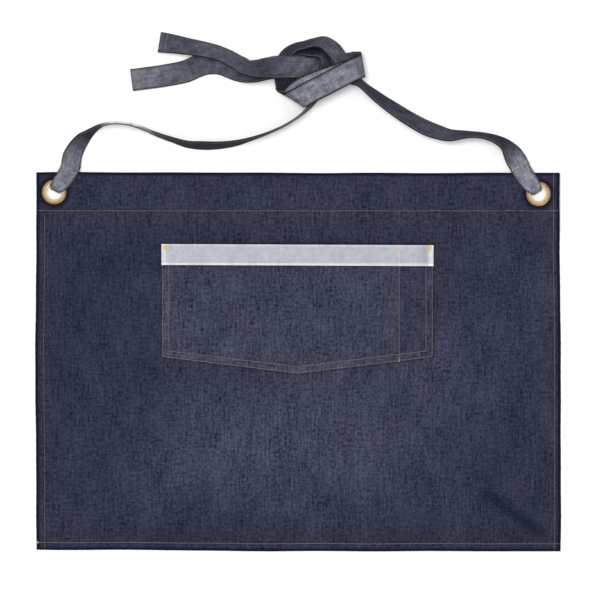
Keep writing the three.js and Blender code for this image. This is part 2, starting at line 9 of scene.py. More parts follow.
import bpy
import numpy as np
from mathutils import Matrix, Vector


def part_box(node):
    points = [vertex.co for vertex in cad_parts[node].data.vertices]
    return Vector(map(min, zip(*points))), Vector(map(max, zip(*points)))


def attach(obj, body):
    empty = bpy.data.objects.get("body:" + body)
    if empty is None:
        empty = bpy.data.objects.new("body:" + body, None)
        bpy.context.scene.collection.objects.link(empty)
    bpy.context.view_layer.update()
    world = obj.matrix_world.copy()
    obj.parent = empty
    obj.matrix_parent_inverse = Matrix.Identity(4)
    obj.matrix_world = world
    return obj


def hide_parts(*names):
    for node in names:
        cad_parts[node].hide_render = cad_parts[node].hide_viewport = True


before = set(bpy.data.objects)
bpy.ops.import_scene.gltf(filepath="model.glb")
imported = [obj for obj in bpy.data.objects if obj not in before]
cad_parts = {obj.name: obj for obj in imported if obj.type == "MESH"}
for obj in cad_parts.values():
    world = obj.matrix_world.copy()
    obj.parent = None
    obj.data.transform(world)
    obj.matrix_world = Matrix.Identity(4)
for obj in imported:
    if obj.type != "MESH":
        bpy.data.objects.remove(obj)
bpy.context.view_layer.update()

MM = 0.001

# The panel
PANEL_WIDTH = 700
PANEL_HEIGHT = 505
CLOTH = 1.0
FOLDED = 2.4
SIDE_HEM = 10
BOTTOM_HEM = 9.5
TOP_BAND = 50
CREASE_HEIGHT = 3

# The pocket and its band
POCKET_WIDTH = 364
POCKET_SIDE_DEPTH = 152
POCKET_POINT_DEPTH = 175
POCKET_BELOW_TOP = 96
POCKET_SEAM = 9
PEN_POCKET = 46
POCKET_BULGE = 6.6
BAND_DEPTH = 28
BAND_CLOTH = 1.0

# The eyelets
BORE = 20
RIM = 33
HOLE_EASE = 2.6
EYELET_WALL = 0.8
FLANGE = 1.5
WASHER = 0.8

# The ties and their knot
TIE_WIDTH = 30
TIE_CLOTH = 2.2
LOOP_LENGTH = 45
LEFT_TAIL = 140
RIGHT_TAIL = 106
KNOT_ASIDE = 27
KNOT_ABOVE = 134
GAP = 0.3
PLY = TIE_CLOTH + 1.1
HALF_TIE = TIE_WIDTH / 2

# The mesh: the largest cells of a sheet and the steps along a strap
CELL = 3.4
STRAP_STEP = 2.6

# Small waves: how soft a fold's step is, how far puckers reach in, and the pitch of the hem's beads
FOLD_SOFT = 2.5
PUCKER_REACH = 22
BEAD_PITCH = 4.6

PANEL_TOP = PANEL_HEIGHT / 2
low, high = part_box("apron_panel")
PANEL_X = (low.x + high.x) / 2 / MM
PANEL_Y = (low.y + high.y) / 2 / MM


def fade(distance):
    """A smooth step from 1 at zero distance to 0 at one."""
    held = np.clip(distance, 0, 1)
    return 0.5 * (1 + np.cos(np.pi * held))


def to_segment(x, y, start, end):
    """The distance of each place from a straight segment."""
    along = np.array(end, float) - np.array(start, float)
    share = ((x - start[0]) * along[0] + (y - start[1]) * along[1]) / (along @ along)
    share = np.clip(share, 0, 1)
    return np.hypot(x - start[0] - share * along[0], y - start[1] - share * along[1])


def ripple(x, y, pitch, seed):
    """A smooth uneven surface between -1 and 1, the same on every run."""
    chance = np.random.default_rng(seed)
    total = np.zeros(np.broadcast(x, y).shape)
    for _ in range(9):
        turn = chance.uniform(0, 2 * np.pi)
        size = chance.uniform(0.7, 1.6) * pitch
        phase = chance.uniform(0, 2 * np.pi)
        total += np.sin((x * np.cos(turn) + y * np.sin(turn)) * 2 * np.pi / size + phase)
    return total / 4.5


def bell(distance, width):
    """A soft hump of height 1 at zero distance."""
    return np.exp(-((distance / width) ** 2))


def build_mesh(name, points, faces, uv=None, values=None):
    """A smooth mesh object from points in millimetres around the panel's middle."""
    points = np.asarray(points, float)
    points = (points + np.array([PANEL_X, PANEL_Y, 0])) * MM
    mesh = bpy.data.meshes.new(name)
    mesh.from_pydata(points.tolist(), [], faces)
    mesh.update()
    if uv is not None:
        layer = mesh.uv_layers.new(name="cloth")
        corners = np.zeros(len(mesh.loops), np.int32)
        mesh.loops.foreach_get("vertex_index", corners)
        layer.data.foreach_set("uv", np.asarray(uv, np.float32)[corners].ravel())
    for key, column in (values or {}).items():
        layer = mesh.attributes.new(key, "FLOAT", "POINT")
        layer.data.foreach_set("value", np.asarray(column, np.float32).ravel())
    mesh.polygons.foreach_set("use_smooth", [True] * len(mesh.polygons))
    piece = bpy.data.objects.new(name, mesh)
    bpy.context.scene.collection.objects.link(piece)
    return piece


def dress(piece, material, slot, *nodes):
    """Gives a piece its material and hides the nodes that it stands for; slot is not used."""
    piece.data.materials.append(material)
    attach(piece, "root")
    if nodes:
        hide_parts(*nodes)
    return piece


# Materials


class Nodes:
    """A short way to lay out a material's nodes."""

    def __init__(self, name):
        self.material = bpy.data.materials.new(name)
        self.material.use_nodes = True
        self.tree = self.material.node_tree
        self.shader = self.tree.nodes["Principled BSDF"]

    def add(self, kind, **settings):
        node = self.tree.nodes.new(kind)
        for key, value in settings.items():
            if key in node.inputs:
                node.inputs[key].default_value = value
            else:
                setattr(node, key, value)
        return node

    def link(self, output, socket):
        self.tree.links.new(output, socket)

    def math(self, operation, first, second):
        node = self.tree.nodes.new("ShaderNodeMath")
        node.operation = operation
        for at, value in enumerate((first, second)):
            if isinstance(value, (int, float)):
                node.inputs[at].default_value = value
            else:
                self.link(value, node.inputs[at])
        return node.outputs[0]

    def mix(self, share, first, second):
        node = self.tree.nodes.new("ShaderNodeMix")
        node.data_type = "RGBA"
        node.clamp_factor = False
        for at, value in ((0, share), (6, first), (7, second)):
            socket = node.inputs[at]
            if isinstance(value, (int, float)):
                socket.default_value = value
            elif isinstance(value, tuple):
                socket.default_value = (*value, 1)
            else:
                self.link(value, socket)
        return node.outputs[2]

    def shade(self, name, output):
        self.link(output, self.shader.inputs[name])

    def relief(self, height, strength, distance):
        node = self.add("ShaderNodeBump", Strength=strength, Distance=distance)
        self.link(height, node.inputs["Height"])
        self.shade("Normal", node.outputs["Normal"])

    def about(self, value, amount):
        """A pattern of 0 to 1, made even about zero and scaled."""
        return self.math("MULTIPLY", self.math("SUBTRACT", value, 0.5), amount)

    def stretched(self, vector, x, y):
        node = self.add("ShaderNodeMapping")
        node.inputs["Scale"].default_value = (x, y, 1)
        self.link(vector, node.inputs["Vector"])
        return node.outputs["Vector"]

    def noise(self, vector, detail=2.0, roughness=0.5):
        node = self.add("ShaderNodeTexNoise", Scale=1.0, Detail=detail, Roughness=roughness)
        self.link(vector, node.inputs["Vector"])
        return node.outputs["Fac"]


def woven(name, dark, pale, grain, slub, twill, bump, roughness):
    """Woven cloth. Its lightness comes from the mesh's tone, broken up by grain, slubs and twill."""
    n = Nodes(name)
    cloth = n.add("ShaderNodeUVMap", uv_map="cloth").outputs["UV"]
    tone = n.add("ShaderNodeAttribute", attribute_name="tone").outputs["Fac"]
    speck = n.noise(n.stretched(cloth, 330, 250), 2.5, 0.6)
    streak = n.noise(n.stretched(cloth, 380, 34), 2.0, 0.55)
    cross = n.noise(n.stretched(cloth, 60, 420), 1.0, 0.5)
    patch = n.noise(n.stretched(cloth, 26, 17), 2.0, 0.5)
    wave = n.add("ShaderNodeTexWave", wave_type="BANDS", bands_direction="DIAGONAL", Scale=1.0)
    wave.inputs["Distortion"].default_value = 0.8
    wave.inputs["Detail"].default_value = 1.0
    n.link(n.stretched(cloth, 230, 200), wave.inputs["Vector"])
    ribs = wave.outputs["Fac"]
    total = n.about(speck, grain)
    for pattern, amount in ((streak, slub), (cross, 0.35 * grain), (patch, 0.55 * slub), (ribs, twill)):
        total = n.math("ADD", total, n.about(pattern, amount))
    level = n.math("MULTIPLY", tone, n.math("ADD", total, 1.0))
    level = n.math("MAXIMUM", level, 0.0)
    n.shade("Base Color", n.mix(level, dark, pale))
    n.shade("Roughness", n.math("ADD", n.math("MULTIPLY", speck, 0.12), roughness - 0.06))
    n.shader.inputs["Specular IOR Level"].default_value = 0.12
    height = n.math("ADD", n.math("MULTIPLY", ribs, 0.5), n.math("MULTIPLY", speck, 0.8))
    height = n.math("ADD", height, n.math("MULTIPLY", streak, 0.5))
    n.relief(height, bump, 0.0004)
    return n.material


def threaded(name, colour, shadow):
    """Sewing thread, with a fine twist and uneven dye."""
    n = Nodes(name)
    place = n.add("ShaderNodeTexCoord").outputs["Object"]
    uneven = n.add("ShaderNodeTexNoise", Scale=160.0, Detail=1.0)
    n.link(place, uneven.inputs["Vector"])
    n.shade("Base Color", n.mix(uneven.outputs["Fac"], shadow, colour))
    twist = n.add("ShaderNodeTexNoise", Scale=2600.0, Detail=1.0)
    n.link(place, twist.inputs["Vector"])
    n.relief(twist.outputs["Fac"], 0.4, 0.0002)
    n.shader.inputs["Roughness"].default_value = 0.7
    n.shader.inputs["Sheen Weight"].default_value = 0.2
    return n.material


def metal(name):
    """Polished brass, with faint rubbing, and a painted reflection: darker towards its outer edge and
    paler towards the bore.
    """
    n = Nodes(name)
    place = n.add("ShaderNodeTexCoord").outputs["Object"]
    tone = n.add("ShaderNodeAttribute", attribute_name="tone").outputs["Fac"]
    rubbed = n.add("ShaderNodeTexNoise", Scale=420.0, Detail=4.0).outputs["Fac"]
    n.link(place, rubbed.node.inputs["Vector"])
    level = n.math("ADD", tone, n.about(rubbed, 0.6))
    level = n.math("MINIMUM", n.math("MAXIMUM", level, 0.0), 1.0)
    n.shade("Base Color", n.mix(level, (0.42, 0.19, 0.03), (1.0, 0.86, 0.60)))
    n.shade("Roughness", n.math("ADD", n.math("MULTIPLY", rubbed, 0.2), 0.2))
    n.shader.inputs["Metallic"].default_value = 1.0
    n.relief(rubbed, 0.12, 0.0002)
    return n.material


# Cloths: darkest and palest colour, grain, slubs, twill, relief and roughness
DENIM = woven("denim", (0.004, 0.006, 0.018), (0.30, 0.32, 0.46), 3.3, 2.0, 0.3, 0.4, 0.92)
TIE_DENIM = woven("tie_denim", (0.004, 0.006, 0.016), (0.29, 0.305, 0.36), 1.5, 1.1, 0.2, 0.4, 0.9)
PALE_DENIM = woven("pale_denim", (0.20, 0.21, 0.25), (0.66, 0.665, 0.71), 0.9, 0.5, 0.25, 0.3, 0.92)
THREAD = threaded("tan_thread", (0.21, 0.155, 0.10), (0.12, 0.095, 0.065))
TIE_THREAD = threaded("tie_thread", (0.31, 0.23, 0.14), (0.17, 0.13, 0.08))
CREAM = threaded("cream_thread", (0.85, 0.80, 0.66), (0.70, 0.64, 0.50))
GOLD = threaded("gold_thread", (0.74, 0.50, 0.20), (0.60, 0.38, 0.14))
BRASS = metal("brass")


# Cloth sheets


def grid_lines(low, high, cell, named):
    """Grid lines at the named places, and even ones between them no further apart than cell."""
    edges = sorted({low, high, *named})
    lines = [low]
    for start, end in zip(edges[:-1], edges[1:]):
        cells = max(1, math.ceil((end - start) / cell - 1e-6))
        lines += [start + (end - start) * at / cells for at in range(1, cells + 1)]
    return np.array(lines)


def edge_lines(half, insets):
    """Grid lines close to both edges of a sheet."""
    return [-half + inset for inset in insets] + [half - inset for inset in insets]


def cloth_sheet(name, x, y, under, over, tone, keep=None):
    """A closed sheet over a grid, with a wall round its edge and round every hole that keep leaves."""
    rows, columns = x.shape
    layer = rows * columns
    top = np.stack([x, y, over], -1).reshape(-1, 3)
    bottom = np.stack([x, y, under], -1).reshape(-1, 3)
    index = np.arange(layer).reshape(rows, columns)
    keep = np.ones((rows - 1, columns - 1), bool) if keep is None else keep
    faces = []
    for row, column in zip(*np.nonzero(keep)):
        a = int(index[row, column])
        b = int(index[row, column + 1])
        c = int(index[row + 1, column + 1])
        d = int(index[row + 1, column])
        faces.append((layer + a, layer + b, layer + c, layer + d))
        faces.append((a, d, c, b))
        ends = (
            (a, b, row == 0 or not keep[row - 1, column]),
            (b, c, column == columns - 2 or not keep[row, column + 1]),
            (c, d, row == rows - 2 or not keep[row + 1, column]),
            (d, a, column == 0 or not keep[row, column - 1]),
        )
        for start, end, bare in ends:
            if bare:
                faces.append((start, end, layer + end, layer + start))
    used = sorted({corner for face in faces for corner in face})
    renumber = {old: new for new, old in enumerate(used)}
    faces = [tuple(renumber[corner] for corner in face) for face in faces]
    points = np.concatenate([bottom, top])[used]
    uv = points[:, :2] * MM
    values = {"tone": np.concatenate([tone.ravel(), tone.ravel()])[used]}
    return build_mesh(name, points, faces, uv, values)


def rounded(under, over, distance, roll):
    """Both faces of a sheet, drawn together in a round fold towards its edge."""
    inside = np.clip(distance / roll, 0, 1)
    share = np.sqrt(np.clip(1 - (1 - inside) ** 2, 0.02, 1))
    middle = (over + under) / 2
    return middle - (middle - under) * share, middle + (over - middle) * share


def from_edges(x, y):
    """How far a place on the panel is in from its nearer side, its bottom and its top."""
    from_side = np.minimum(x + PANEL_WIDTH / 2, PANEL_WIDTH / 2 - x)
    return from_side, y + PANEL_TOP, PANEL_TOP - y


def from_nearest(x, y):
    """How far a place on the panel is in from its nearest edge."""
    from_side, from_bottom, from_top = from_edges(x, y)
    return np.minimum(from_side, np.minimum(from_bottom, from_top))


def eyelet(x, y, leaves, inward, aside, off):
    """An eyelet's place and how its tie leaves it: bearing, side of its drift, drift and slack."""
    return {"x": x, "y": y, "leaves": leaves, "inward": inward, "aside": aside, "off": off}


EYELETS = {
    "left": eyelet(-PANEL_WIDTH / 2 + 24, PANEL_TOP - 26.5, 63, 1, 1, 1.0),
    "right": eyelet(PANEL_WIDTH / 2 - 28.5, PANEL_TOP - 29, 123, -1, 0.4, 1.8),
}
WASHER_UNDER = TIE_CLOTH + 1.5 * GAP
PANEL_LIFT = WASHER_UNDER + WASHER + GAP
FLANGE_UNDER = PANEL_LIFT + FOLDED + GAP
FLANGE_OVER = FLANGE_UNDER + FLANGE

# Low creases: start, end, width and height, as shares of the panel's sizes and of the crease height
CREASES = (
    ((0.33, -0.33), (0.455, -0.45), 0.05, 1.0),
    ((0.40, -0.12), (0.43, 0.12), 0.045, 0.55),
    ((-0.41, -0.40), (-0.37, 0.05), 0.05, 0.6),
    ((-0.22, -0.45), (-0.06, -0.40), 0.045, 0.7),
    ((0.10, -0.30), (0.13, -0.46), 0.04, 0.5),
)


def panel_under(x, y):
    """The height of the panel's underside: low creases, and its corners lifted over the ties."""
    height = np.zeros(np.broadcast(x, y).shape)
    for start, end, width, rise in CREASES:
        a = (start[0] * PANEL_WIDTH, start[1] * PANEL_HEIGHT)
        b = (end[0] * PANEL_WIDTH, end[1] * PANEL_HEIGHT)
        away = to_segment(x, y, a, b) / (width * PANEL_WIDTH)
        height = np.maximum(height, CREASE_HEIGHT * rise * fade(away))
    for side in EYELETS.values():
        turn = math.radians(side["leaves"])
        out = (PANEL_TOP - side["y"]) / math.sin(turn)
        edge = (side["x"] + out * math.cos(turn), PANEL_TOP)
        away = to_segment(x, y, (side["x"], side["y"]), edge) - (RIM / 2 + 10)
        height = np.maximum(height, PANEL_LIFT * fade(away / (2.2 * TIE_WIDTH)))
    return height


# Stitch lines of the panel, in from its edges
SIDE_STITCH_LEFT = 11.2
SIDE_STITCH_RIGHT = 8.2
BOTTOM_STITCH = 9.9
TOP_STITCH = 51.5


def panel_over(x, y):
    """The height of the panel's face: folds, seams that pull it down, puckers and slow waves."""
    from_side, from_bottom, from_top = from_edges(x, y)
    doubled = fade((from_side - SIDE_HEM) / FOLD_SOFT)
    doubled = np.maximum(doubled, fade((from_bottom - BOTTOM_HEM) / FOLD_SOFT))
    doubled = np.maximum(doubled, fade((from_top - TOP_BAND) / FOLD_SOFT))
    thickness = CLOTH + (FOLDED - CLOTH) * doubled
    left = x + PANEL_WIDTH / 2 - SIDE_STITCH_LEFT
    right = PANEL_WIDTH / 2 - x - SIDE_STITCH_RIGHT
    dips = 0.5 * (bell(left, 1.8) + bell(right, 1.8) + bell(from_bottom - BOTTOM_STITCH, 1.8))
    dips = dips + 0.45 * bell(from_top - TOP_STITCH, 1.8)
    pucker = 0.22 * ripple(1.4 * x, y, 17, 5) * fade(from_side / PUCKER_REACH)
    near = np.maximum(fade(from_bottom / PUCKER_REACH), fade((from_top - 40) / 24))
    pucker = pucker + 0.22 * ripple(x, 1.4 * y, 17, 6) * near
    waves = 0.35 * ripple(x, y, 120, 7) + 0.12 * ripple(x, y, 38, 8)
    return panel_under(x, y) + thickness - dips + pucker + np.maximum(waves, -0.3)


# Paler and darker places: middle, reach and tone, as shares of the panel's sizes from its middle
PATCHES = (
    ((0.02, -0.20), (0.30, 0.20), 0.050),
    ((0.27, -0.02), (0.07, 0.12), 0.026),
    ((-0.15, -0.25), (0.16, 0.14), 0.012),
    ((0.12, 0.20), (0.14, 0.05), 0.006),
    ((0.12, -0.24), (0.014, 0.24), 0.018),
    ((0.37, -0.28), (0.12, 0.14), -0.012),
    ((-0.42, 0.10), (0.10, 0.40), -0.010),
    ((0.40, 0.15), (0.10, 0.25), 0.010),
    ((0.0, 0.42), (0.40, 0.08), 0.010),
    ((0.0, -0.47), (0.45, 0.05), -0.014),
    ((-0.30, -0.12), (0.05, 0.16), -0.008),
)


# Shaded creases: start and end as shares of the panel's sizes, half width and depth of tone
SHADES = (
    ((0.36, -0.35), (0.46, -0.45), 8, 0.036),
    ((0.06, -0.36), (0.13, -0.42), 12, 0.014),
)


def panel_tone(x, y):
    """How pale the panel is: paler and darker places, painted shade in creases, along its edges and
    stitch lines, and painted shadow round the eyelets and above the pocket mouth.
    """
    tone = np.full(np.broadcast(x, y).shape, 0.060)
    for (cx, cy), (rx, ry), amount in PATCHES:
        out = ((x / PANEL_WIDTH - cx) / rx) ** 2 + ((y / PANEL_HEIGHT - cy) / ry) ** 2
        tone = tone + amount * np.exp(-out)
    tone = tone + 0.006 * ripple(x, 0.4 * y, 55, 9)
    for start, end, width, depth in SHADES:
        a = (start[0] * PANEL_WIDTH, start[1] * PANEL_HEIGHT)
        b = (end[0] * PANEL_WIDTH, end[1] * PANEL_HEIGHT)
        tone = tone - depth * bell(to_segment(x, y, a, b), width)
    from_side, from_bottom, from_top = from_edges(x, y)
    # Painted shade along the rolled edges, beaded at the sides.
    beads = 0.5 + 0.5 * np.sin((x + y) * 2 * np.pi / BEAD_PITCH)
    tone = tone * (1 - fade((from_side - 3.4) / 2.6) * (0.7 + 0.3 * beads))
    tone = tone * (1 - fade((from_nearest(x, y) - 2.2) / 2.2))
    # Painted shade in the sunk stitch lines, with paler cloth just beside them.
    stitch = np.minimum(np.abs(x + PANEL_WIDTH / 2 - SIDE_STITCH_LEFT), np.abs(from_top - TOP_STITCH))
    stitch = np.minimum(stitch, np.abs(PANEL_WIDTH / 2 - x - SIDE_STITCH_RIGHT))
    stitch = np.minimum(stitch, np.abs(from_bottom - BOTTOM_STITCH))
    tone = tone * (1 + 0.10 * bell(stitch - 3.5, 2.2) - 0.15 * bell(stitch, 1.6))
    # Painted shadow on the panel round each eyelet's ring.
    for side in EYELETS.values():
        away = np.hypot(x - side["x"], y - side["y"])
        tone = tone * (1 - 0.9 * fade((away - RIM / 2 - 2.5) / 6))
    # Painted shadow on the panel just above the pocket's mouth, which stands off it.
    beside = np.maximum(0, np.abs(x - POCKET_MIDDLE) - POCKET_WIDTH / 2)
    above = np.maximum(0, np.abs(y - POCKET_TOP) - 0.6)
    tone = tone * (1 - 0.8 * fade(np.hypot(beside, above) / 2.4))
    return np.maximum(tone, 0.0)


def bowed(x, y):
    """The panel's outline isn't straight: it bows out at its left, its lower right and its foot."""
    from_side, from_bottom, from_top = from_edges(x, y)
    out = np.where(x < 0, 1.6 * bell(y, 110), 1.5 * fade((y - 20) / 150))
    out = out + 0.3 * ripple(y, 0 * y, 90, 11) + 0.1 * np.sin(y * 2 * np.pi / BEAD_PITCH)
    moved_x = x + np.sign(x) * out * fade(from_side / 60)
    out = np.where(y < 0, 1.9 * fade((-20 - x) / 260), -0.8 * fade((60 - x) / 260))
    out = out + 0.3 * ripple(x, 0 * x, 120, 12)
    moved_y = y + np.sign(y) * out * fade(np.minimum(from_bottom, from_top) / 60)
    return moved_x, moved_y


def panel_piece():
    half = PANEL_WIDTH / 2
    edge = [0.25, 0.7, 1.4, 2.6]
    named_x = edge_lines(half, edge) + edge_lines(half, [SIDE_HEM, SIDE_HEM + FOLD_SOFT])
    hem = -PANEL_TOP + BOTTOM_HEM
    band = PANEL_TOP - TOP_BAND
    named_y = edge_lines(PANEL_TOP, edge) + [hem, hem + FOLD_SOFT, band - FOLD_SOFT, band]
    columns = grid_lines(-half, half, CELL, named_x)
    rows = grid_lines(-PANEL_TOP, PANEL_TOP, CELL, named_y)
    x, y = np.meshgrid(columns, rows)
    centre_x = (x[:-1, :-1] + x[1:, 1:]) / 2
    centre_y = (y[:-1, :-1] + y[1:, 1:]) / 2
    keep = np.ones(centre_x.shape, bool)
    hole = BORE / 2 + HOLE_EASE
    for side in EYELETS.values():
        keep &= np.hypot(centre_x - side["x"], centre_y - side["y"]) > hole
        away = np.hypot(x - side["x"], y - side["y"])
        near = (away < hole + 0.75 * CELL) & (away > 1e-6)
        pull = np.where(near, hole / np.maximum(away, 1e-6), 1)
        x = side["x"] + (x - side["x"]) * pull
        y = side["y"] + (y - side["y"]) * pull
    under, over = rounded(panel_under(x, y), panel_over(x, y), from_nearest(x, y), 1.5)
    tone = panel_tone(x, y)
    x, y = bowed(x, y)
    return cloth_sheet("panel_cloth", x, y, under, over, tone, keep)


# The pocket

POCKET_TOP = PANEL_TOP - POCKET_BELOW_TOP
DIVIDER = POCKET_WIDTH / 2 - PEN_POCKET
POCKET_MIDDLE = -0.001 * PANEL_WIDTH
PUCKER_PITCH = 5.2
BAND_TILT = 1.6
BAND_CELL = 3.4


def pocket_depth(x):
    """How far down the pocket reaches, with a slightly blunt point."""
    point = np.minimum(np.abs(x) / (POCKET_WIDTH / 2), 1)
    soft = np.sqrt(point**2 + 0.0009)
    return POCKET_POINT_DEPTH + (POCKET_SIDE_DEPTH - POCKET_POINT_DEPTH) * soft


def pocket_hollow(x, share):
    """How far the main pocket or the pen pocket bulges, at a share of the way down."""
    main = x < DIVIDER
    left = np.where(main, -POCKET_WIDTH / 2 + POCKET_SEAM, DIVIDER + POCKET_SEAM / 2)
    right = np.where(main, DIVIDER - POCKET_SEAM / 2, POCKET_WIDTH / 2 - POCKET_SEAM)
    across = np.clip((x - left) / (right - left), 0, 1)
    seam_share = 1 - POCKET_SEAM / pocket_depth(x)
    down = np.clip(share / seam_share, 0, 1)
    return POCKET_BULGE * np.sin(np.pi * across) ** 0.6 * (1 - down**2) ** 0.7


def pocket_over(x, share):
    """The height of the pocket's face."""
    base = 2 * CLOTH + GAP + pocket_hollow(x, share)
    y = -share * pocket_depth(x)
    return base + 0.18 * ripple(x, y, 55, 21) * (1 - share) + 0.10 * ripple(x, y, 22, 22)


# Stitch lines of the pocket and of the ties, in from their edges
POCKET_STITCHES = (1.7, 10.1)
TIE_STITCH = 1.9


def pocket_tone(x, depth_mm):
    """How pale the pocket is, with a shadow under the band and along its seams."""
    side = POCKET_WIDTH / 2 - np.abs(x)
    below = pocket_depth(x) - depth_mm
    tone = np.full(np.broadcast(x, depth_mm).shape, 0.104)
    tone = tone - 0.022 * (x > DIVIDER) * fade((DIVIDER + 3 - x) / 6)
    tone = tone - 0.014 * bell(x + 70, 80) * bell(depth_mm - 45, 35)
    tone = tone + 0.007 * ripple(x, 0.4 * depth_mm, 50, 23)
    edge = np.minimum(side, below)
    tone = tone * (1 - 0.45 * fade((edge - 0.3) / 1.4))
    for line in POCKET_STITCHES:
        tone = tone * (1 - 0.16 * bell(edge - line, 1.3))
    tone = tone * (1 + 0.30 * bell(edge - 5.9, 3.4))
    tone = tone * (1 - 0.25 * bell(x - DIVIDER, 1.6))
    tone = tone * (1 - 0.50 * fade((depth_mm - BAND_DEPTH) / 5))
    return tone


def pocket_piece():
    half = POCKET_WIDTH / 2
    edge = [0.3, 0.9, 1.8, 3.5, 5.5, 8.5, 10.2, 12]
    named = edge_lines(half, edge) + [DIVIDER - 4.5, DIVIDER - 2, DIVIDER, DIVIDER + 2, DIVIDER + 4.5]
    xs = grid_lines(-half, half, CELL, named)
    deep = POCKET_POINT_DEPTH
    downs = grid_lines(0, 1, CELL / deep, [1 - e / deep for e in edge] + [0.4 / deep, 1.2 / deep])
    x, share = np.meshgrid(xs, downs[::-1])
    depth = share * pocket_depth(x)
    over = pocket_over(x, share)
    side = half - np.abs(x)
    below = pocket_depth(x) - depth
    edge_in = np.minimum(side, below)
    for line in POCKET_STITCHES:
        over = over - 0.28 * bell(edge_in - line, 1.2)
    over = over - 0.3 * bell(x - DIVIDER, 1.3)
    over = over + 0.12 * np.sin(x * 2 * np.pi / PUCKER_PITCH) * bell(below - 6, 4)
    over = over + 0.12 * np.sin(depth * 2 * np.pi / PUCKER_PITCH) * bell(side - 6, 4)
    under = pocket_over(x, share) - CLOTH
    under, over = rounded(under, over, np.minimum(edge_in, depth), 1.0)
    tone = pocket_tone(x, depth)
    return cloth_sheet("pocket_cloth", x + POCKET_MIDDLE, POCKET_TOP - depth, under, over, tone)


def band_over(x, depth):
    """The height of the band's face, which lies on the pocket."""
    share = depth / pocket_depth(x)
    return pocket_over(x, share) + 1.4 * GAP + BAND_CLOTH


def band_piece():
    half = POCKET_WIDTH / 2
    edge = [0.3, 0.9, 1.8, 3.5, 5.5]
    named = edge_lines(half, edge) + [DIVIDER - 2, DIVIDER, DIVIDER + 2]
    xs = grid_lines(-half, half, BAND_CELL, named)
    downs = grid_lines(0, BAND_DEPTH, 2.4, edge + [BAND_DEPTH - e for e in edge])
    x, depth = np.meshgrid(xs, downs[::-1])
    over = band_over(x, depth)
    under = over - BAND_CLOTH
    side = half - np.abs(x)
    below = BAND_DEPTH - depth
    tone = np.full(x.shape, 0.36)
    tone = tone + 0.05 * ripple(x, depth, 40, 31) + 0.04 * ripple(x, 2 * depth, 14, 32)
    tone = tone + 0.46 * fade((below - 1.8) / 2.2) + 0.22 * fade((depth - 1.0) / 2.0)
    tone = tone + 0.34 * fade((side - 4.0) / 4.0)
    # Painted shade along the sunk stitch line by the foot and at the divider.
    tone = tone - 0.10 * bell(below - 2.9, 0.9) - 0.05 * bell(x - DIVIDER, 1.2)
    over = over - 0.3 * bell(below - 2.2, 0.9) - 0.25 * bell(x - DIVIDER, 1.2)
    under, over = rounded(under, over, np.minimum(np.minimum(side, below), depth), 1.0)
    tilt = BAND_TILT * (x / half + 1) / 2
    y = POCKET_TOP - depth - tilt
    return cloth_sheet("pocket_band_cloth", x + POCKET_MIDDLE, y, under, over, tone)


# Stitches


# A stitch's thread: along it as a share, rise in radii and thickness as a share
STITCH = (
    (-1.0, -1.1, 0.45),
    (-0.72, 0.05, 0.9),
    (0.0, 0.42, 1.0),
    (0.72, 0.05, 0.9),
    (1.0, -1.1, 0.45),
)
STITCH_SIDES = 6


def stitch_points(path, normals, pitch, length, radius, seed):
    """Points and faces of a row of thread loops along a path, each sunk into the cloth at its ends."""
    chance = np.random.default_rng(seed)
    steps = np.linalg.norm(np.diff(path, axis=0), axis=1)
    run = np.concatenate([[0], np.cumsum(steps)])
    count = max(1, int(run[-1] / pitch))
    starts = (np.arange(count) + 0.5) * run[-1] / count
    turns = np.arange(STITCH_SIDES) * 2 * np.pi / STITCH_SIDES
    points = []
    faces = []

    def along(distance):
        place = np.stack([np.interp(distance, run, path[:, axis]) for axis in range(3)], -1)
        normal = np.stack([np.interp(distance, run, normals[:, axis]) for axis in range(3)], -1)
        return place, normal / np.linalg.norm(normal)

    for start in starts:
        reach = length / 2 * chance.uniform(0.9, 1.06)
        lean = chance.normal(0, 0.06)
        base = len(points)
        centre, up = along(start)
        ahead, _ = along(min(start + reach, run[-1]))
        behind, _ = along(max(start - reach, 0))
        forward = ahead - behind
        forward = forward / max(np.linalg.norm(forward), 1e-9)
        across = np.cross(up, forward)
        across = across / np.linalg.norm(across)
        for share, rise, thick in STITCH:
            spot, _ = along(np.clip(start + share * reach, 0, run[-1]))
            spot = spot + up * rise * radius + across * (lean * share * reach)
            for turn in turns:
                points.append(spot + radius * thick * (across * math.cos(turn) + up * math.sin(turn)))
        for ring in range(len(STITCH) - 1):
            first = base + ring * STITCH_SIDES
            for side in range(STITCH_SIDES):
                a = first + side
                b = first + (side + 1) % STITCH_SIDES
                faces.append((a, b, b + STITCH_SIDES, a + STITCH_SIDES))
        last = base + (len(STITCH) - 1) * STITCH_SIDES
        faces.append(tuple(range(base, base + STITCH_SIDES))[::-1])
        faces.append(tuple(range(last, last + STITCH_SIDES)))
    return points, faces


class Seam:
    """Gathers many rows of stitches into one piece."""

    def __init__(self, name, material, slot):
        self.name = name
        self.material = material
        self.slot = slot
        self.points = []
        self.faces = []

    def sew(self, path, normals, pitch=3.3, length=2.7, radius=0.42, seed=1):
        points, faces = stitch_points(path, normals, pitch, length, radius, seed)
        base = len(self.points)
        self.points += points
        self.faces += [tuple(base + corner for corner in face) for face in faces]

    def finish(self):
        points = np.array(self.points)
        points[:, 2] = np.maximum(points[:, 2], 0)
        piece = build_mesh(self.name, points, self.faces)
        return dress(piece, self.material, self.slot)


def flat_run(start, end, height, count=None):
    """A straight run over a surface, from its height, with upward normals."""
    length = math.dist(start, end)
    count = count or max(8, int(length / 3))
    shares = np.linspace(0, 1, count)
    x = start[0] + (end[0] - start[0]) * shares
    y = start[1] + (end[1] - start[1]) * shares
    z = height(x, y)
    return np.stack([x, y, z], -1), np.tile([0.0, 0.0, 1.0], (count, 1))


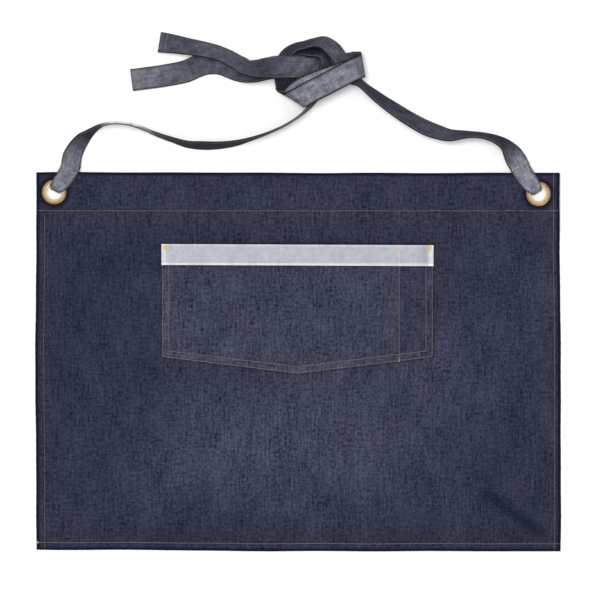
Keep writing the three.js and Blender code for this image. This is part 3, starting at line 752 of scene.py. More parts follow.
def bartack(seam, centre, size, height, strands, seed):
    """A dense block of zigzag thread, by its centre, its width and length, and the surface's height."""
    width, length = size
    chance = np.random.default_rng(seed)
    for at in range(strands):
        along = (at / max(1, strands - 1) - 0.5) * length + chance.normal(0, 0.1)
        reach = width / 2 * chance.uniform(0.88, 1.08)
        slant = 0.35 if at % 2 else -0.35
        start = (centre[0] - reach, centre[1] + along - slant)
        end = (centre[0] + reach, centre[1] + along + slant)
        path, normals = flat_run(start, end, height, 5)
        seam.sew(path, normals, 2.2 * width, 2.05 * reach, 0.36, seed + at)


# Straps


def around(points, place):
    """The four points around each place, and how far along it is between the middle two."""
    points = np.asarray(points, float)
    base = np.minimum(np.floor(place).astype(int), len(points) - 2)
    before = 2 * points[0] - points[1]
    after = 2 * points[-1] - points[-2]
    padded = np.concatenate([[before], points, [after]])
    return [padded[base + shift] for shift in range(4)], place - base


def centripetal(points, place):
    """Catmull-Rom through points, with square-root spacing, at places counted in points."""
    (p0, p1, p2, p3), weight = around(points, place)
    d0 = np.maximum(np.sum((p0 - p1) ** 2, -1), 1e-12) ** 0.25
    d1 = np.maximum(np.sum((p1 - p2) ** 2, -1), 1e-12) ** 0.25
    d2 = np.maximum(np.sum((p2 - p3) ** 2, -1), 1e-12) ** 0.25
    d0, d1, d2 = (value[:, None] for value in (d0, d1, d2))
    t1 = ((p1 - p0) / d0 - (p2 - p0) / (d0 + d1) + (p2 - p1) / d1) * d1
    t2 = ((p2 - p1) / d1 - (p3 - p1) / (d1 + d2) + (p3 - p2) / d2) * d1
    return hermite(p1, p2, t1, t2, weight)


def uniform(points, place):
    """Catmull-Rom through points, evenly spaced, at places counted in points."""
    (p0, p1, p2, p3), weight = around(points, place)
    return hermite(p1, p2, 0.5 * (p2 - p0), 0.5 * (p3 - p1), weight)


def hermite(start, end, leave, reach, weight):
    """A cubic between two points from its directions at both."""
    w = weight[:, None]
    return (
        start
        + leave * w
        + (-3 * start + 3 * end - 2 * leave - reach) * w**2
        + (2 * start - 2 * end + leave + reach) * w**3
    )


def unit(vectors):
    return vectors / np.maximum(np.linalg.norm(vectors, axis=-1, keepdims=True), 1e-9)


def edge_direction(bearing, lift):
    """The direction of a strap's leading edge from its bearing and its lift above level, in degrees."""
    b = math.radians(bearing)
    t = math.radians(lift)
    return np.array([math.cos(t) * math.cos(b), math.cos(t) * math.sin(b), math.sin(t)])


def station(x, y, z, bearing, lift, breadth, thickness, tone, rim, curl=0.0):
    """One place on a strap's route, with how the strap lies there and how it looks."""
    return {
        "at": np.array([x, y, z], float),
        "edge": edge_direction(bearing, lift),
        "breadth": breadth,
        "thickness": thickness,
        "tone": tone,
        "rim": rim,
        "curl": curl,
    }


def resting(lift):
    """The height of a strap's middle where its lower edge rests on the table."""
    t = math.radians(lift)
    return HALF_TIE * abs(math.sin(t)) + TIE_CLOTH / 2 * math.cos(t) + 0.12 * TIE_CLOTH


def loop_stations(side, tone):
    """From the end sewn back under the panel, through the eyelet, to the sewing above its edge."""
    half = TIE_CLOTH / 2
    back = half
    front = FLANGE_OVER + GAP + half
    turn = (front - back) / 2
    apex = side["off"] + 1.3 * half
    level = apex + turn
    over = PANEL_LIFT + FOLDED + GAP + half
    sewn = back + 0.6 * half
    # Columns: out from the hole, aside, height, breadth, thickness, tone; the tone dips where the tie
    # turns through the eyelet, a painted shade in the hole
    rows = (
        (1.05 * LOOP_LENGTH, 0.08, sewn + 0.5 * half, 0.90, 1, 0.9),
        (0.92 * LOOP_LENGTH, 0.12, sewn, 0.88, 1, 0.9),
        (0.75 * LOOP_LENGTH, 0.16, back, 0.85, 1, 0.9),
        (0.55 * LOOP_LENGTH, 0.14, back, 0.80, 1, 0.8),
        (RIM / 2, 0.08, back, 0.70, 1, 0.7),
        (level + 1.5, 0.03, back, 0.56, 1, 0.5),
        (apex + 0.3 * turn, 0, back + 0.3 * turn, 0.48, 1, 0.4),
        (apex, 0, back + turn, 0.46, 1.1, 0.5),
        (apex + 0.3 * turn, 0, front - 0.15 * turn, 0.46, 1, 0.8),
        (level + 1.5, 0.05, front + 0.4, 0.66, 1, 1.0),
        (RIM / 2, 0.10, front, 0.80, 1, 1.05),
        (0.62 * LOOP_LENGTH, 0.15, over + 0.6, 0.83, 1, 1.0),
        (0.86 * LOOP_LENGTH, 0.14, over, 0.86, 1, 1.0),
        (1.00 * LOOP_LENGTH, 0.08, over, 0.88, 1, 0.98),
    )
    turned = math.radians(side["leaves"])
    along = (math.cos(turned), math.sin(turned))
    bearing = side["leaves"] + 90
    made = []
    for out, aside, height, breadth, thickness, share in rows:
        shift = side["inward"] * aside * TIE_WIDTH * side["aside"]
        x = side["x"] + out * along[0] + shift * along[1]
        y = side["y"] + out * along[1] - shift * along[0]
        # Every loop station has a dark rim of 0.6: painted shade along the tie's edges.
        made.append(station(x, y, height, bearing, 0, breadth, thickness, tone * share, 0.6))
    return made


KNOT = (KNOT_ASIDE, PANEL_TOP + KNOT_ABOVE)


def knot_station(x, y, rise, ply, bearing, lift, tone, rim, breadth=1.0, curl=0.0):
    """A station placed from the knot's middle, in tie widths and plies."""
    place = (KNOT[0] + x * TIE_WIDTH, KNOT[1] + y * TIE_WIDTH, rise * TIE_WIDTH + ply * PLY)
    return station(*place, bearing, lift, breadth, 1, tone, rim, curl)


# Into the knot. Columns: x, y and rise in tie widths, plies, edge bearing, edge lift, tone,
# dark rim (painted shade along the edges), and then breadth and how far the leading edge curls inward
LEFT_ENTRY = (
    (-0.27, -1.43, 0.50, 0.10, 145, 82, 0.10, 0.4),
    (-0.04, -0.94, 0.46, 0.45, 156, 67, 0.12, 0.5),
    (0.16, -0.45, 0.39, 1.90, 160, 51, 0.16, 0.5),
    (0.32, 0.04, 0.41, 2.10, 168, 55, 0.18, 0.6),
    (0.34, 0.42, 0.44, 3.20, 190, 62, 0.17, 0.6),
    (0.21, 0.73, 0.46, 2.30, 214, 68, 0.15, 0.6, 1.0, 1.0),
    (0.02, 0.89, 0.49, 1.00, 228, 69, 0.08, 0.6, 1.0, 4.5),
    (-0.23, 1.02, 0.50, 0.45, 246, 68, 0.05, 0.5, 1.0, 7.5),
)
RIGHT_ENTRY = (
    (1.89, -0.54, 0.46, 2.20, 229, 69, 0.10, 0.7),
    (1.45, -0.21, 0.32, 2.80, 223, 40, 0.16, 0.6),
    (1.18, 0.25, 0.35, 2.20, 219, 45, 0.20, 0.5),
    (0.88, 0.72, 0.36, 2.15, 222, 46, 0.20, 0.5),
    (0.59, 1.06, 0.35, 1.40, 231, 45, 0.20, 0.5),
    (0.21, 1.31, 0.42, 0.80, 246, 54, 0.16, 0.6),
    (-0.22, 1.29, 0.47, 0.60, 261, 65, 0.10, 0.6),
)

# Both ties together. The first eight columns as above, then how far the right tie slides along its
# breadth, as a share of it, and the breadth of both
PAIR = (
    (-0.62, 1.12, 0.50, 0.50, 278, 67, 0.05, 0.5, 0.00, 1.00),
    (-0.93, 1.05, 0.48, 0.55, 296, 66, 0.05, 0.5, 0.00, 1.00),
    (-1.21, 0.90, 0.45, 0.55, 320, 61, 0.05, 0.5, 0.00, 1.00),
    (-1.41, 0.66, 0.40, 0.55, 339, 53, 0.08, 0.5, 0.00, 1.00),
    (-1.50, 0.33, 0.35, 0.68, 351, 45, 0.10, 0.5, 0.00, 1.00),
    (-1.52, 0.00, 0.29, 0.78, 361, 35, 0.10, 0.5, 0.00, 1.00),
    (-1.47, -0.33, 0.21, 0.90, 368, 25, 0.06, 0.5, 0.00, 1.00),
    (-1.38, -0.65, 0.14, 1.00, 364, 14, 0.05, 0.5, 0.00, 1.00),
    (-1.27, -0.92, 0.14, 1.10, 350, 5, 0.05, 0.5, 0.00, 1.00),
    (-1.13, -1.12, 0.30, 1.00, 336, 0, 0.08, 0.5, 0.04, 1.00),
    (-1.06, -1.22, 0.56, 1.00, 328, 0, 0.16, 0.8, 0.10, 1.00),
    (-0.98, -1.23, 0.84, 1.00, 322, 0, 0.38, 0.8, 0.18, 1.00),
    (-0.78, -1.16, 0.97, 1.20, 315, 0, 0.50, 0.8, 0.27, 1.00),
    (-0.45, -0.98, 1.00, 1.30, 303, 0, 0.53, 0.8, 0.30, 1.00),
    (0.22, -0.64, 1.00, 1.35, 297, 0, 0.54, 0.8, 0.24, 1.00),
    (0.89, -0.29, 1.00, 1.30, 296, 0, 0.54, 0.8, 0.13, 1.00),
    (1.43, -0.01, 1.00, 1.10, 291, 0, 0.52, 0.8, 0.04, 1.00),
    (1.72, 0.13, 0.92, 1.10, 286, 0, 0.42, 0.8, 0.00, 1.00),
    (1.90, 0.23, 0.76, 0.80, 282, 0, 0.28, 0.8, 0.00, 1.00),
    (1.90, 0.37, 0.46, 0.80, 278, 0, 0.18, 0.4, 0.00, 0.96),
    (1.82, 0.44, 0.15, 0.80, 275, 0, 0.10, 0.4, 0.00, 0.94),
    (1.66, 0.43, 0.02, 0.90, 273, 0, 0.10, 0.4, 0.00, 0.96),
    (1.40, 0.36, 0.00, 0.95, 272, 0, 0.14, 0.4, 0.00, 1.00),
    (0.98, 0.32, 0.00, 1.00, 273, 0, 0.20, 0.4, 0.00, 1.00),
    (0.58, 0.29, 0.00, 0.97, 274, 0, 0.30, 0.4, 0.00, 1.00),
    (0.18, 0.26, 0.13, 0.92, 274, -4, 0.26, 0.5, 0.00, 1.00),
    (-0.27, 0.23, 0.40, 0.90, 273, -7, 0.36, 0.5, 0.00, 1.00),
    (-0.71, 0.21, 0.69, 0.90, 272, -8, 0.36, 0.5, 0.00, 1.00),
    (-1.16, 0.20, 0.94, 0.90, 271, -8, 0.27, 0.5, 0.00, 1.00),
    (-1.52, 0.20, 0.99, 1.00, 270, -5, 0.20, 0.5, 0.00, 1.00),
    (-1.88, 0.18, 0.95, 1.20, 270, 0, 0.15, 0.5, 0.00, 1.00),
)
# The left tie's curl on the first of these rows, and how far apart the two ties lie, in plies
PAIR_CURL = (7.5, 4.0, 1.0)
PLY_APART = 1.06
LEFT_OUT = (
    (-2.32, 0.11, 0.82, 0.60, 272, 3, 0.10, 0.6),
    (-2.77, 0.02, 0.60, 0.60, 273, 2, 0.10, 0.6),
    (-3.21, 0.01, 0.36, 0.60, 262, 1, 0.14, 0.6),
    (-3.66, 0.11, 0.14, 0.60, 252, 1, 0.22, 0.5),
)
RIGHT_OUT = (
    (-2.23, 0.16, 1.00, 1.60, 268, 22, 0.12, 0.6),
    (-2.75, 0.08, 0.98, 1.10, 262, 42, 0.12, 0.6),
    (-3.17, 0.16, 0.86, 1.00, 246, 48, 0.14, 0.6),
    (-3.55, 0.38, 0.57, 0.80, 238, 49, 0.18, 0.6),
)

# The free tails. Columns: along and up as shares of the tail, edge bearing, edge lift, tone, dark rim
# (painted shade along the edges)
LEFT_TAIL_RUN = (
    (0.153, 0.057, 260, 1, 0.30, 0.5),
    (0.287, 0.057, 279, 2, 0.26, 0.5),
    (0.383, 0.026, 291, 3, 0.24, 0.5),
    (0.479, -0.016, 289, 4, 0.24, 0.5),
    (0.680, -0.057, 280, 5, 0.36, 0.6),
    (0.843, -0.080, 278, 5, 0.44, 0.6),
    (1.000, -0.100, 278, 7, 0.42, 0.6),
)
RIGHT_TAIL_RUN = (
    (0.141, 0.080, 244, 47, 0.20, 0.7),
    (0.276, 0.135, 251, 46, 0.20, 0.7),
    (0.449, 0.176, 257, 43, 0.19, 0.7),
    (0.595, 0.204, 259, 41, 0.18, 0.7),
    (0.766, 0.235, 260, 34, 0.17, 0.7),
    (0.911, 0.258, 261, 25, 0.18, 0.7),
    (1.000, 0.268, 261, 20, 0.20, 0.7),
)

# From eyelet to knot. Columns: along and across as shares of the distance, edge bearing, edge lift,
# breadth, tone (above 0.6 a painted highlight on the top edge), dark rim (painted shade along the edges)
LEFT_SPAN = (
    (0.019, 0.034, 157, 28, 0.92, 0.34, 0.6),
    (0.047, 0.063, 145, 46, 0.98, 0.20, 0.7),
    (0.072, 0.082, 136, 56, 1, 0.10, 0.7),
    (0.092, 0.092, 130, 67, 1, 0.04, 0.6),
    (0.121, 0.106, 124, 78, 1, 0.05, 0.5),
    (0.148, 0.115, 116, 84, 1, 0.05, 0.3),
    (0.182, 0.118, 100, 88, 1, 1.30, 0.0),
    (0.245, 0.103, 83, 88, 1, 2.40, 0.0),
    (0.304, 0.072, 72, 86, 1, 1.30, 0.0),
    (0.360, 0.031, 70, 83, 1, 0.12, 0.2),
    (0.417, -0.006, 72, 80, 1, 0.05, 0.4),
    (0.475, -0.040, 80, 75, 1, 0.04, 0.5),
    (0.537, -0.060, 89, 71, 1, 0.05, 0.5),
    (0.600, -0.074, 95, 74, 1, 0.04, 0.5),
    (0.665, -0.081, 102, 79, 1, 0.04, 0.4),
    (0.731, -0.079, 108, 85, 1, 0.05, 0.3),
    (0.800, -0.072, 112, 88, 1, 0.12, 0.2),
    (0.869, -0.059, 119, 89, 1, 0.30, 0.1),
    (0.942, -0.034, 130, 88, 1, 0.40, 0.1),
)
RIGHT_SPAN = (
    (0.037, -0.024, 211, 16, 0.97, 0.42, 0.6),
    (0.077, -0.048, 217, 36, 1, 0.20, 0.7),
    (0.135, -0.070, 232, 58, 1, 0.05, 0.6),
    (0.204, -0.069, 250, 69, 1, 0.06, 0.4),
    (0.273, -0.052, 261, 74, 1, 0.06, 0.4),
    (0.345, -0.020, 269, 71, 1, 0.07, 0.5),
    (0.423, 0.025, 264, 57, 1, 0.13, 0.6),
    (0.490, 0.041, 252, 49, 1, 0.16, 0.6),
    (0.561, 0.050, 245, 46, 1, 0.15, 0.6),
    (0.664, 0.048, 239, 49, 1, 0.13, 0.6),
    (0.771, 0.038, 235, 53, 1, 0.11, 0.6),
    (0.880, 0.023, 233, 61, 1, 0.07, 0.6),
)


def span_stations(start, end, rows):
    """The stretch on the table between the eyelet and the knot."""
    ahead = (end[0] - start[0], end[1] - start[1])
    made = []
    for along, across, bearing, lift, breadth, tone, rim in rows:
        x = start[0] + along * ahead[0] - across * ahead[1]
        y = start[1] + along * ahead[1] + across * ahead[0]
        made.append(station(x, y, resting(lift), bearing, lift, breadth, 1, tone, rim))
    return made


def pair_stations(sign):
    """One tie's way through the knot, on one side of the shared line or, with sign 1, the other."""
    shared = [knot_station(*row[:8], row[9]) for row in PAIR]
    made = []
    for at, one in enumerate(shared):
        before = shared[max(0, at - 1)]["at"]
        after = shared[min(len(shared) - 1, at + 1)]["at"]
        along = unit(after - before)
        face = unit(np.cross(along, one["edge"]))
        place = one["at"] + face * sign * PLY_APART * PLY / 2
        curl = PAIR_CURL[at] if sign < 0 and at < len(PAIR_CURL) else 0.0
        if sign > 0:
            place = place - one["edge"] * PAIR[at][8] * TIE_WIDTH
        made.append({**one, "at": place, "curl": curl})
    return made


def tail_stations(start, length, rows):
    """A free tail, resting on the table."""
    made = []
    for along, up, bearing, lift, tone, rim in rows:
        place = (start[0] - along * length, start[1] + up * length, resting(lift))
        made.append(station(*place, bearing, lift, 1, 1, tone, rim))
    return made


def strap_rings(stations):
    """Dense rings along a strap, on the same curve as its solid."""
    places = [one["at"] for one in stations]
    edges = [one["edge"] for one in stations]
    spans = len(stations) - 1
    steps = []
    for span in range(spans):
        length = np.linalg.norm(places[span + 1] - places[span])
        turn = math.degrees(math.acos(np.clip(edges[span] @ edges[span + 1], -1, 1)))
        steps.append(max(3, math.ceil(length / STRAP_STEP), math.ceil(turn / 5)))
    shares = [span + np.arange(count) / count for span, count in enumerate(steps)]
    where = np.concatenate(shares + [[spans]])
    at = centripetal(places, where)
    small = 0.0001 * spans
    ahead = centripetal(places, np.minimum(where + small, spans))
    behind = centripetal(places, np.maximum(where - small, 0))
    along = unit(ahead - behind)
    edge = unit(uniform(edges, where))
    face = np.cross(along, edge)
    square = np.maximum(0.8, np.linalg.norm(face, axis=1))
    face = unit(face)
    index = np.arange(len(stations))

    def blend(name):
        return np.interp(where, index, [one[name] for one in stations])

    run = np.concatenate([[0], np.cumsum(np.linalg.norm(np.diff(at, axis=0), axis=1))])
    return {
        "at": at,
        "edge": edge,
        "face": face,
        "half": blend("breadth") * HALF_TIE / square,
        "deep": blend("thickness") * TIE_CLOTH / 2,
        "breadth": blend("breadth"),
        "tone": blend("tone"),
        "rim": blend("rim"),
        "curl": blend("curl"),
        "run": run,
    }


# A tone above this is a painted highlight on the top edge of a strap that stands on edge, which only the
# strap's leading edge has
PAINTED_HIGHLIGHT_ABOVE = 0.6


def strap_piece(name, rings, seed):
    """The strap's cloth: a tube pressed flat, with soft edges, sewn grooves and small creases."""
    inset = np.array([0, 0.25, 0.8, 1.7, 2.6, 3.4, 5.0, 8.0, 11.5])
    across = np.concatenate([-HALF_TIE + inset, [0], (HALF_TIE - inset)[::-1]]) / HALF_TIE
    near = HALF_TIE * (1 - np.abs(across))
    profile = np.sqrt(np.clip(1 - (1 - np.clip(near / 1.3, 0, 1)) ** 2, 0, 1))
    groove = 0.20 * bell(near - TIE_STITCH, 0.7)
    count = len(rings["at"])
    columns = len(across)
    run = rings["run"][:, None]
    side = rings["half"][:, None] * across[None, :]
    pinch = np.clip(1 - rings["breadth"], 0, 1)[:, None]
    crease = 0.16 * ripple(run, side * 0.5, 24, seed)
    crease = crease + 0.5 * pinch * np.cos(across * 3.4 * np.pi)[None, :]
    crease = crease * np.clip(near / 4, 0, 1)[None, :]
    points = []
    for sign in (1, -1):
        lift = rings["deep"][:, None] * profile[None, :] - groove[None, :]
        lift = lift * sign + crease * (1 if sign > 0 else 0.8)
        lift = lift - rings["curl"][:, None] * (((across + 1) / 2) ** 2)[None, :]
        layer = rings["at"][:, None, :] + rings["edge"][:, None, :] * side[..., None]
        points.append(layer + rings["face"][:, None, :] * lift[..., None])
    section = columns * 2 - 2
    top = points[0]
    bottom = points[1][:, 1:-1][:, ::-1]
    ring = np.concatenate([top, bottom], axis=1)
    ring[..., 2] = np.maximum(ring[..., 2], 0)
    column = np.concatenate([across, across[1:-1][::-1]])
    faces = []
    for row in range(count - 1):
        for at in range(section):
            a = row * section + at
            b = row * section + (at + 1) % section
            faces.append((a, a + section, b + section, b))
    faces.append(tuple(range(section)))
    faces.append(tuple(range((count - 1) * section, count * section))[::-1])
    near = HALF_TIE * (1 - np.abs(column))
    # Painted shade along the strap's edges, as deep as the stations' dark rim.
    rim = 1 - rings["rim"][:, None] * 1.2 * fade((near - 1.2) / 2.6)[None, :]
    worn = 1 + 0.12 * ripple(run, 0 * column[None, :], 34, seed + 1)
    # Painted shade in the sewn grooves.
    sewn = 1 - 0.18 * bell(near - TIE_STITCH, 0.8)[None, :]
    blotch = 1 + 0.28 * ripple(run, column[None, :] * HALF_TIE, 14, seed + 2)
    # Tones above the highlight level are a painted highlight, kept to the leading edge, the top edge
    # where the strap stands on edge.
    plain = np.minimum(rings["tone"], PAINTED_HIGHLIGHT_ABOVE) / (1 + 4 * np.maximum(rings["tone"] - PAINTED_HIGHLIGHT_ABOVE, 0))
    leading = fade(HALF_TIE * (1 - column) / 16)[None, :]
    tone = plain[:, None] + (rings["tone"] - plain)[:, None] * leading
    tone = tone * rim * worn * sewn * blotch
    breadthways = np.broadcast_to(column[None, :] * HALF_TIE, tone.shape)
    uv = np.stack([breadthways, np.broadcast_to(run, tone.shape)], -1)
    uv = uv.reshape(-1, 2) * MM + np.array([seed * 0.37, 0])
    return build_mesh(name, ring.reshape(-1, 3), faces, uv, {"tone": np.maximum(tone, 0.004)})


def strap_line(rings, inset, sign, first):
    """A line along a strap's face, inset from one edge (positive) or the other (negative)."""
    pick = rings["run"] >= first * rings["run"][-1]
    side = (1 - abs(inset) / HALF_TIE) * np.sign(inset)
    reach = rings["half"] * side
    normal = rings["face"] * sign
    path = rings["at"] + rings["edge"] * reach[:, None] + normal * (rings["deep"] - 0.12)[:, None]
    path = path - rings["face"] * (rings["curl"] * ((1 + side) / 2) ** 2)[:, None]
    return path[pick], normal[pick]


def strap_cross(rings, distance, sign, from_end=False):
    """A line straight across a strap at a distance from its start, or from its end."""
    goal = rings["run"][-1] - distance if from_end else distance
    at = int(np.argmin(np.abs(rings["run"] - goal)))
    shares = np.linspace(-0.93, 0.93, 9)
    normal = rings["face"][at] * sign
    middle = rings["at"][at] + normal * (rings["deep"][at] + 0.02)
    path = middle + rings["edge"][at] * rings["half"][at] * shares[:, None]
    return path, np.tile(normal, (len(shares), 1))


def make_tie(name, side, span, entry, sign, out, tail, run, seed, tone):
    """A whole tie, from its sewn end to its free tail, and its rings."""
    loop = loop_stations(side, tone)
    into = [knot_station(*row) for row in entry]
    away = [knot_station(*row) for row in out]
    stations = loop + span_stations(loop[-1]["at"], into[0]["at"], span)
    stations += into + pair_stations(sign) + away + tail_stations(away[-1]["at"], tail, run)
    rings = strap_rings(stations)
    piece = strap_piece(name + "_cloth", rings, seed)
    return piece, rings


# Build the pieces

panel = dress(panel_piece(), DENIM, "denim", "apron_panel")
pocket = dress(pocket_piece(), DENIM, "denim", "pocket")
band = dress(band_piece(), PALE_DENIM, "pale_denim", "pocket_band")
left_route = (LEFT_SPAN, LEFT_ENTRY, -1, LEFT_OUT, LEFT_TAIL, LEFT_TAIL_RUN)
left_tie, left_rings = make_tie("tie_left", EYELETS["left"], *left_route, 41, 0.46)
right_route = (RIGHT_SPAN, RIGHT_ENTRY, 1, RIGHT_OUT, RIGHT_TAIL, RIGHT_TAIL_RUN)
right_tie, right_rings = make_tie("tie_right", EYELETS["right"], *right_route, 47, 0.60)
dress(left_tie, TIE_DENIM, "strap_denim", "tie_left")
dress(right_tie, TIE_DENIM, "strap_denim", "tie_right")


def lathe(name, profile, side, count=96):
    """A turned ring around an eyelet's axis from a closed profile of radius and height."""
    points = []
    for turn in np.arange(count) * 2 * np.pi / count:
        for radius, height in profile:
            x = side["x"] + radius * math.cos(turn)
            y = side["y"] + radius * math.sin(turn)
            points.append((x, y, height))
    # Tone by radius, dark at the rim and pale at the bore: a painted reflection on the domed flange.
    reach = [(RIM / 2 - radius) / (RIM / 2 - BORE / 2) for radius, height in profile]
    tone = [min(1, max(0, share)) ** 1.3 for share in reach] * count
    size = len(profile)
    faces = []
    for step in range(count):
        for at in range(size):
            a = step * size + at
            b = step * size + (at + 1) % size
            c = ((step + 1) % count) * size + (at + 1) % size
            d = ((step + 1) % count) * size + at
            faces.append((a, d, c, b))
    return build_mesh(name, points, faces, None, {"tone": tone})


def eyelet_profile():
    """The barrel, and then the domed flange from its rim to the bore."""
    bore = BORE / 2
    rim = RIM / 2
    middle = (bore + rim) / 2
    outer = bore + EYELET_WALL
    foot = WASHER_UNDER + GAP
    profile = [(bore, foot), (outer, foot), (outer, FLANGE_UNDER)]
    profile += [(rim - 0.6, FLANGE_UNDER), (rim - 0.1, FLANGE_UNDER + 0.12)]
    for turn in np.linspace(0.12, math.pi - 0.30, 16):
        reach = middle + (rim - middle) * math.cos(turn)
        profile.append((reach, FLANGE_UNDER + 0.1 + (FLANGE - 0.1) * math.sin(turn) ** 0.8))
    profile.append((bore + 0.05, FLANGE_UNDER + 0.25))
    return profile[::-1]


def washer_profile():
    """A flat ring with its outer corners cut off."""
    inner = BORE / 2 + EYELET_WALL + GAP
    outer = RIM / 2 - 1
    under = WASHER_UNDER
    over = under + WASHER
    cut = 0.25
    lower = [(inner, under), (outer - cut, under), (outer, under + cut)]
    return lower + [(outer, over - cut), (outer - cut, over), (inner, over)]


for name, side in EYELETS.items():
    dress(lathe(f"eyelet_{name}_ring", eyelet_profile(), side), BRASS, "brass", f"eyelet_{name}")
    dress(lathe(f"eyelet_{name}_back", washer_profile(), side), BRASS, "brass", f"eyelet_washer_{name}")

# Sewing
tan = Seam("tan_stitches", THREAD, "denim")
tie_sewing = Seam("tie_stitches", TIE_THREAD, "strap_denim")
cream = Seam("cream_stitches", CREAM, "pale_denim")
gold = Seam("gold_bartacks", GOLD, "denim")
half_width = PANEL_WIDTH / 2


def on_panel(x, y):
    """The height of a stitch line on the panel."""
    return panel_over(x, y) + 0.08


def panel_run(start, end):
    """A straight seam of the panel, bowed as its outline is."""
    path, normals = flat_run(start, end, on_panel)
    path[:, 0], path[:, 1] = bowed(path[:, 0], path[:, 1])
    return path, normals


left_line = -half_width + SIDE_STITCH_LEFT
right_line = half_width - SIDE_STITCH_RIGHT
bottom_line = -PANEL_TOP + BOTTOM_STITCH
top_line = PANEL_TOP - TOP_STITCH
seam_end = half_width - 1.5
seam_foot = -PANEL_TOP + 1.5
tan.sew(*panel_run((left_line, top_line - 3), (left_line, seam_foot)), seed=101)
tan.sew(*panel_run((right_line, PANEL_TOP - 1.5), (right_line, seam_foot)), seed=102)
for height, seed in ((bottom_line, 103), (top_line, 104)):
    tan.sew(*panel_run((-seam_end, height), (seam_end, height)), radius=0.5, seed=seed)


def on_pocket(x, y):
    inside = x - POCKET_MIDDLE
    depth = POCKET_TOP - y
    return pocket_over(inside, np.clip(depth / pocket_depth(inside), 0, 1)) - 0.1


def on_band(x, y):
    inside = x - POCKET_MIDDLE
    return band_over(inside, np.clip(POCKET_TOP - y, 0, BAND_DEPTH)) + 0.05


for at, line in enumerate(POCKET_STITCHES):
    reach = POCKET_WIDTH / 2 - line
    low_y = POCKET_TOP - float(pocket_depth(reach)) + line
    point_y = POCKET_TOP - float(pocket_depth(0.0)) + line
    for sign in (-1, 1):
        x = POCKET_MIDDLE + sign * reach
        upright = flat_run((x, POCKET_TOP - BAND_DEPTH), (x, low_y), on_pocket)
        sloping = flat_run((x, low_y), (POCKET_MIDDLE, point_y), on_pocket)
        tan.sew(*upright, radius=0.55, seed=110 + at)
        tan.sew(*sloping, radius=0.55, seed=114 + at)
divider_x = POCKET_MIDDLE + DIVIDER
divider_low = POCKET_TOP - float(pocket_depth(DIVIDER)) + 1.5
band_foot = POCKET_TOP - BAND_DEPTH
pocket_left = POCKET_MIDDLE - POCKET_WIDTH / 2
pocket_right = POCKET_MIDDLE + POCKET_WIDTH / 2
tan.sew(*flat_run((divider_x, band_foot), (divider_x, divider_low), on_pocket), radius=0.5, seed=121)
cream.sew(*flat_run((divider_x, POCKET_TOP - 1), (divider_x, band_foot), on_band), seed=122)
band_line = band_foot + 2.2
cream.sew(*flat_run((pocket_left + 2, band_line), (pocket_right - 2, band_line), on_band), seed=123)
for x in (pocket_left + 1.8, pocket_right - 1.8):
    cream.sew(*flat_run((x, POCKET_TOP - 2), (x, band_foot + 1), on_band), seed=124)
bartack(gold, (pocket_left + 5.2, POCKET_TOP - 4.3), (7.6, 5.2), on_band, 11, 131)
bartack(gold, (pocket_right - 5.6, POCKET_TOP - 5.6), (6.6, 5.4), on_band, 11, 151)
bartack(gold, (divider_x, POCKET_TOP - 4.5), (2.4, 6.0), on_band, 10, 171)
bartack(gold, (divider_x, divider_low + 1), (1.6, 4.0), on_pocket, 6, 181)
bartack(gold, (-half_width + 2.2, bottom_line), (2.6, 1.6), on_panel, 3, 191)
bartack(gold, (right_line, bottom_line), (1.8, 3.4), on_panel, 4, 195)

for rings, seed, seam, cross in ((left_rings, 201, tan, 95.0), (right_rings, 211, gold, 92.0)):
    for inset in (TIE_STITCH, -TIE_STITCH):
        for sign in (1, -1):
            tie_sewing.sew(*strap_line(rings, inset, sign, 0.07), 3.1, 2.5, 0.30, seed)
    for sign in (1, -1):
        tie_sewing.sew(*strap_cross(rings, 9.0, sign, True), 3.1, 2.5, 0.34, seed + 3)
        seam.sew(*strap_cross(rings, cross, sign), 2.9, 2.5, 0.34, seed + 4)

for seam in (tan, tie_sewing, cream, gold):
    seam.finish()

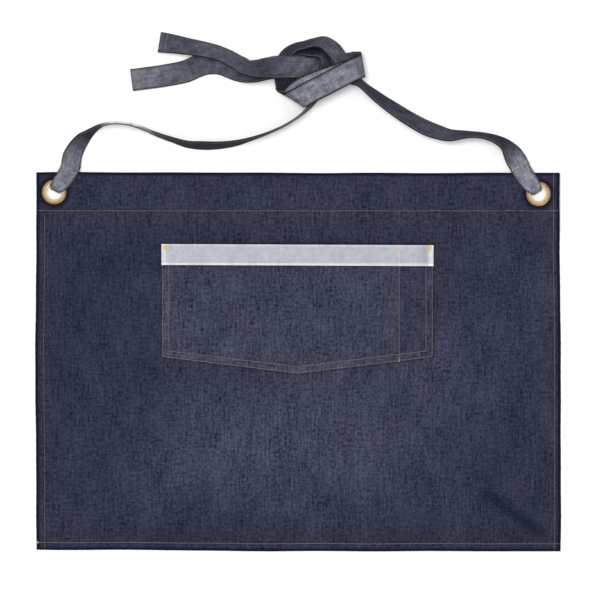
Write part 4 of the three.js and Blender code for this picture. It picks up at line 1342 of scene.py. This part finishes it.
# Stage, light and camera. The floor is in metres, a hair below the table's height
FLOOR_HALF = 6
FLOOR_DROP = -0.0003
floor_mesh = bpy.data.meshes.new("floor")
square = ((-1, -1), (1, -1), (1, 1), (-1, 1))
corners = [(x * FLOOR_HALF, y * FLOOR_HALF, FLOOR_DROP) for x, y in square]
floor_mesh.from_pydata(corners, [], [(0, 1, 2, 3)])
floor = bpy.data.objects.new("floor", floor_mesh)
bpy.context.scene.collection.objects.link(floor)
paper = Nodes("paper")
paper.shader.inputs["Base Color"].default_value = (0.92, 0.92, 0.925, 1)
paper.shader.inputs["Roughness"].default_value = 0.9
floor_mesh.materials.append(paper.material)

world = bpy.data.worlds.new("studio")
world.use_nodes = True
world.node_tree.nodes["Background"].inputs["Color"].default_value = (1, 1, 1, 1)
world.node_tree.nodes["Background"].inputs["Strength"].default_value = 0.78
bpy.context.scene.world = world


def soft_light(name, place, size, power, glossy):
    """A round light aimed at the apron: for gloss alone when glossy, and otherwise for all but gloss."""
    data = bpy.data.lights.new(name, "AREA")
    data.shape = "DISK"
    data.size = size
    data.energy = power
    light = bpy.data.objects.new(name, data)
    light.location = place
    toward = np.array([0, 0, 0]) - np.array(place)
    tip = math.atan2(math.hypot(toward[0], toward[1]), -toward[2])
    light.rotation_euler = (tip, 0, math.atan2(toward[1], toward[0]) - math.pi / 2)
    bpy.context.scene.collection.objects.link(light)
    light.visible_glossy = glossy
    light.visible_diffuse = not glossy


soft_light("key", (-0.4, 0.5, 3.3), 1.3, 72, False)
soft_light("glint", (1.3, -1.6, 2.4), 0.9, 7, True)

# Looking straight down, at the photograph's scale: PIXEL is what one of its 600 columns covers
scene = bpy.context.scene
scene.view_settings.view_transform = "Standard"
PIXEL = 1.338 * MM
FRAME_WIDTH = 600 * PIXEL
CAMERA_HEIGHT = 8.0
camera_data = bpy.data.cameras.new("camera")
camera_data.sensor_width = 36
camera_data.lens = 36 * CAMERA_HEIGHT / FRAME_WIDTH
camera_data.clip_end = 50
camera = bpy.data.objects.new("camera", camera_data)
camera.location = (PANEL_X * MM + 2 * PIXEL, PANEL_Y * MM + 61 * PIXEL, CAMERA_HEIGHT)
scene.collection.objects.link(camera)
scene.camera = camera

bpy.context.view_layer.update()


def plain(box):
    """A box's two corners as lists of numbers."""
    return [[float(value) for value in corner] for corner in box]
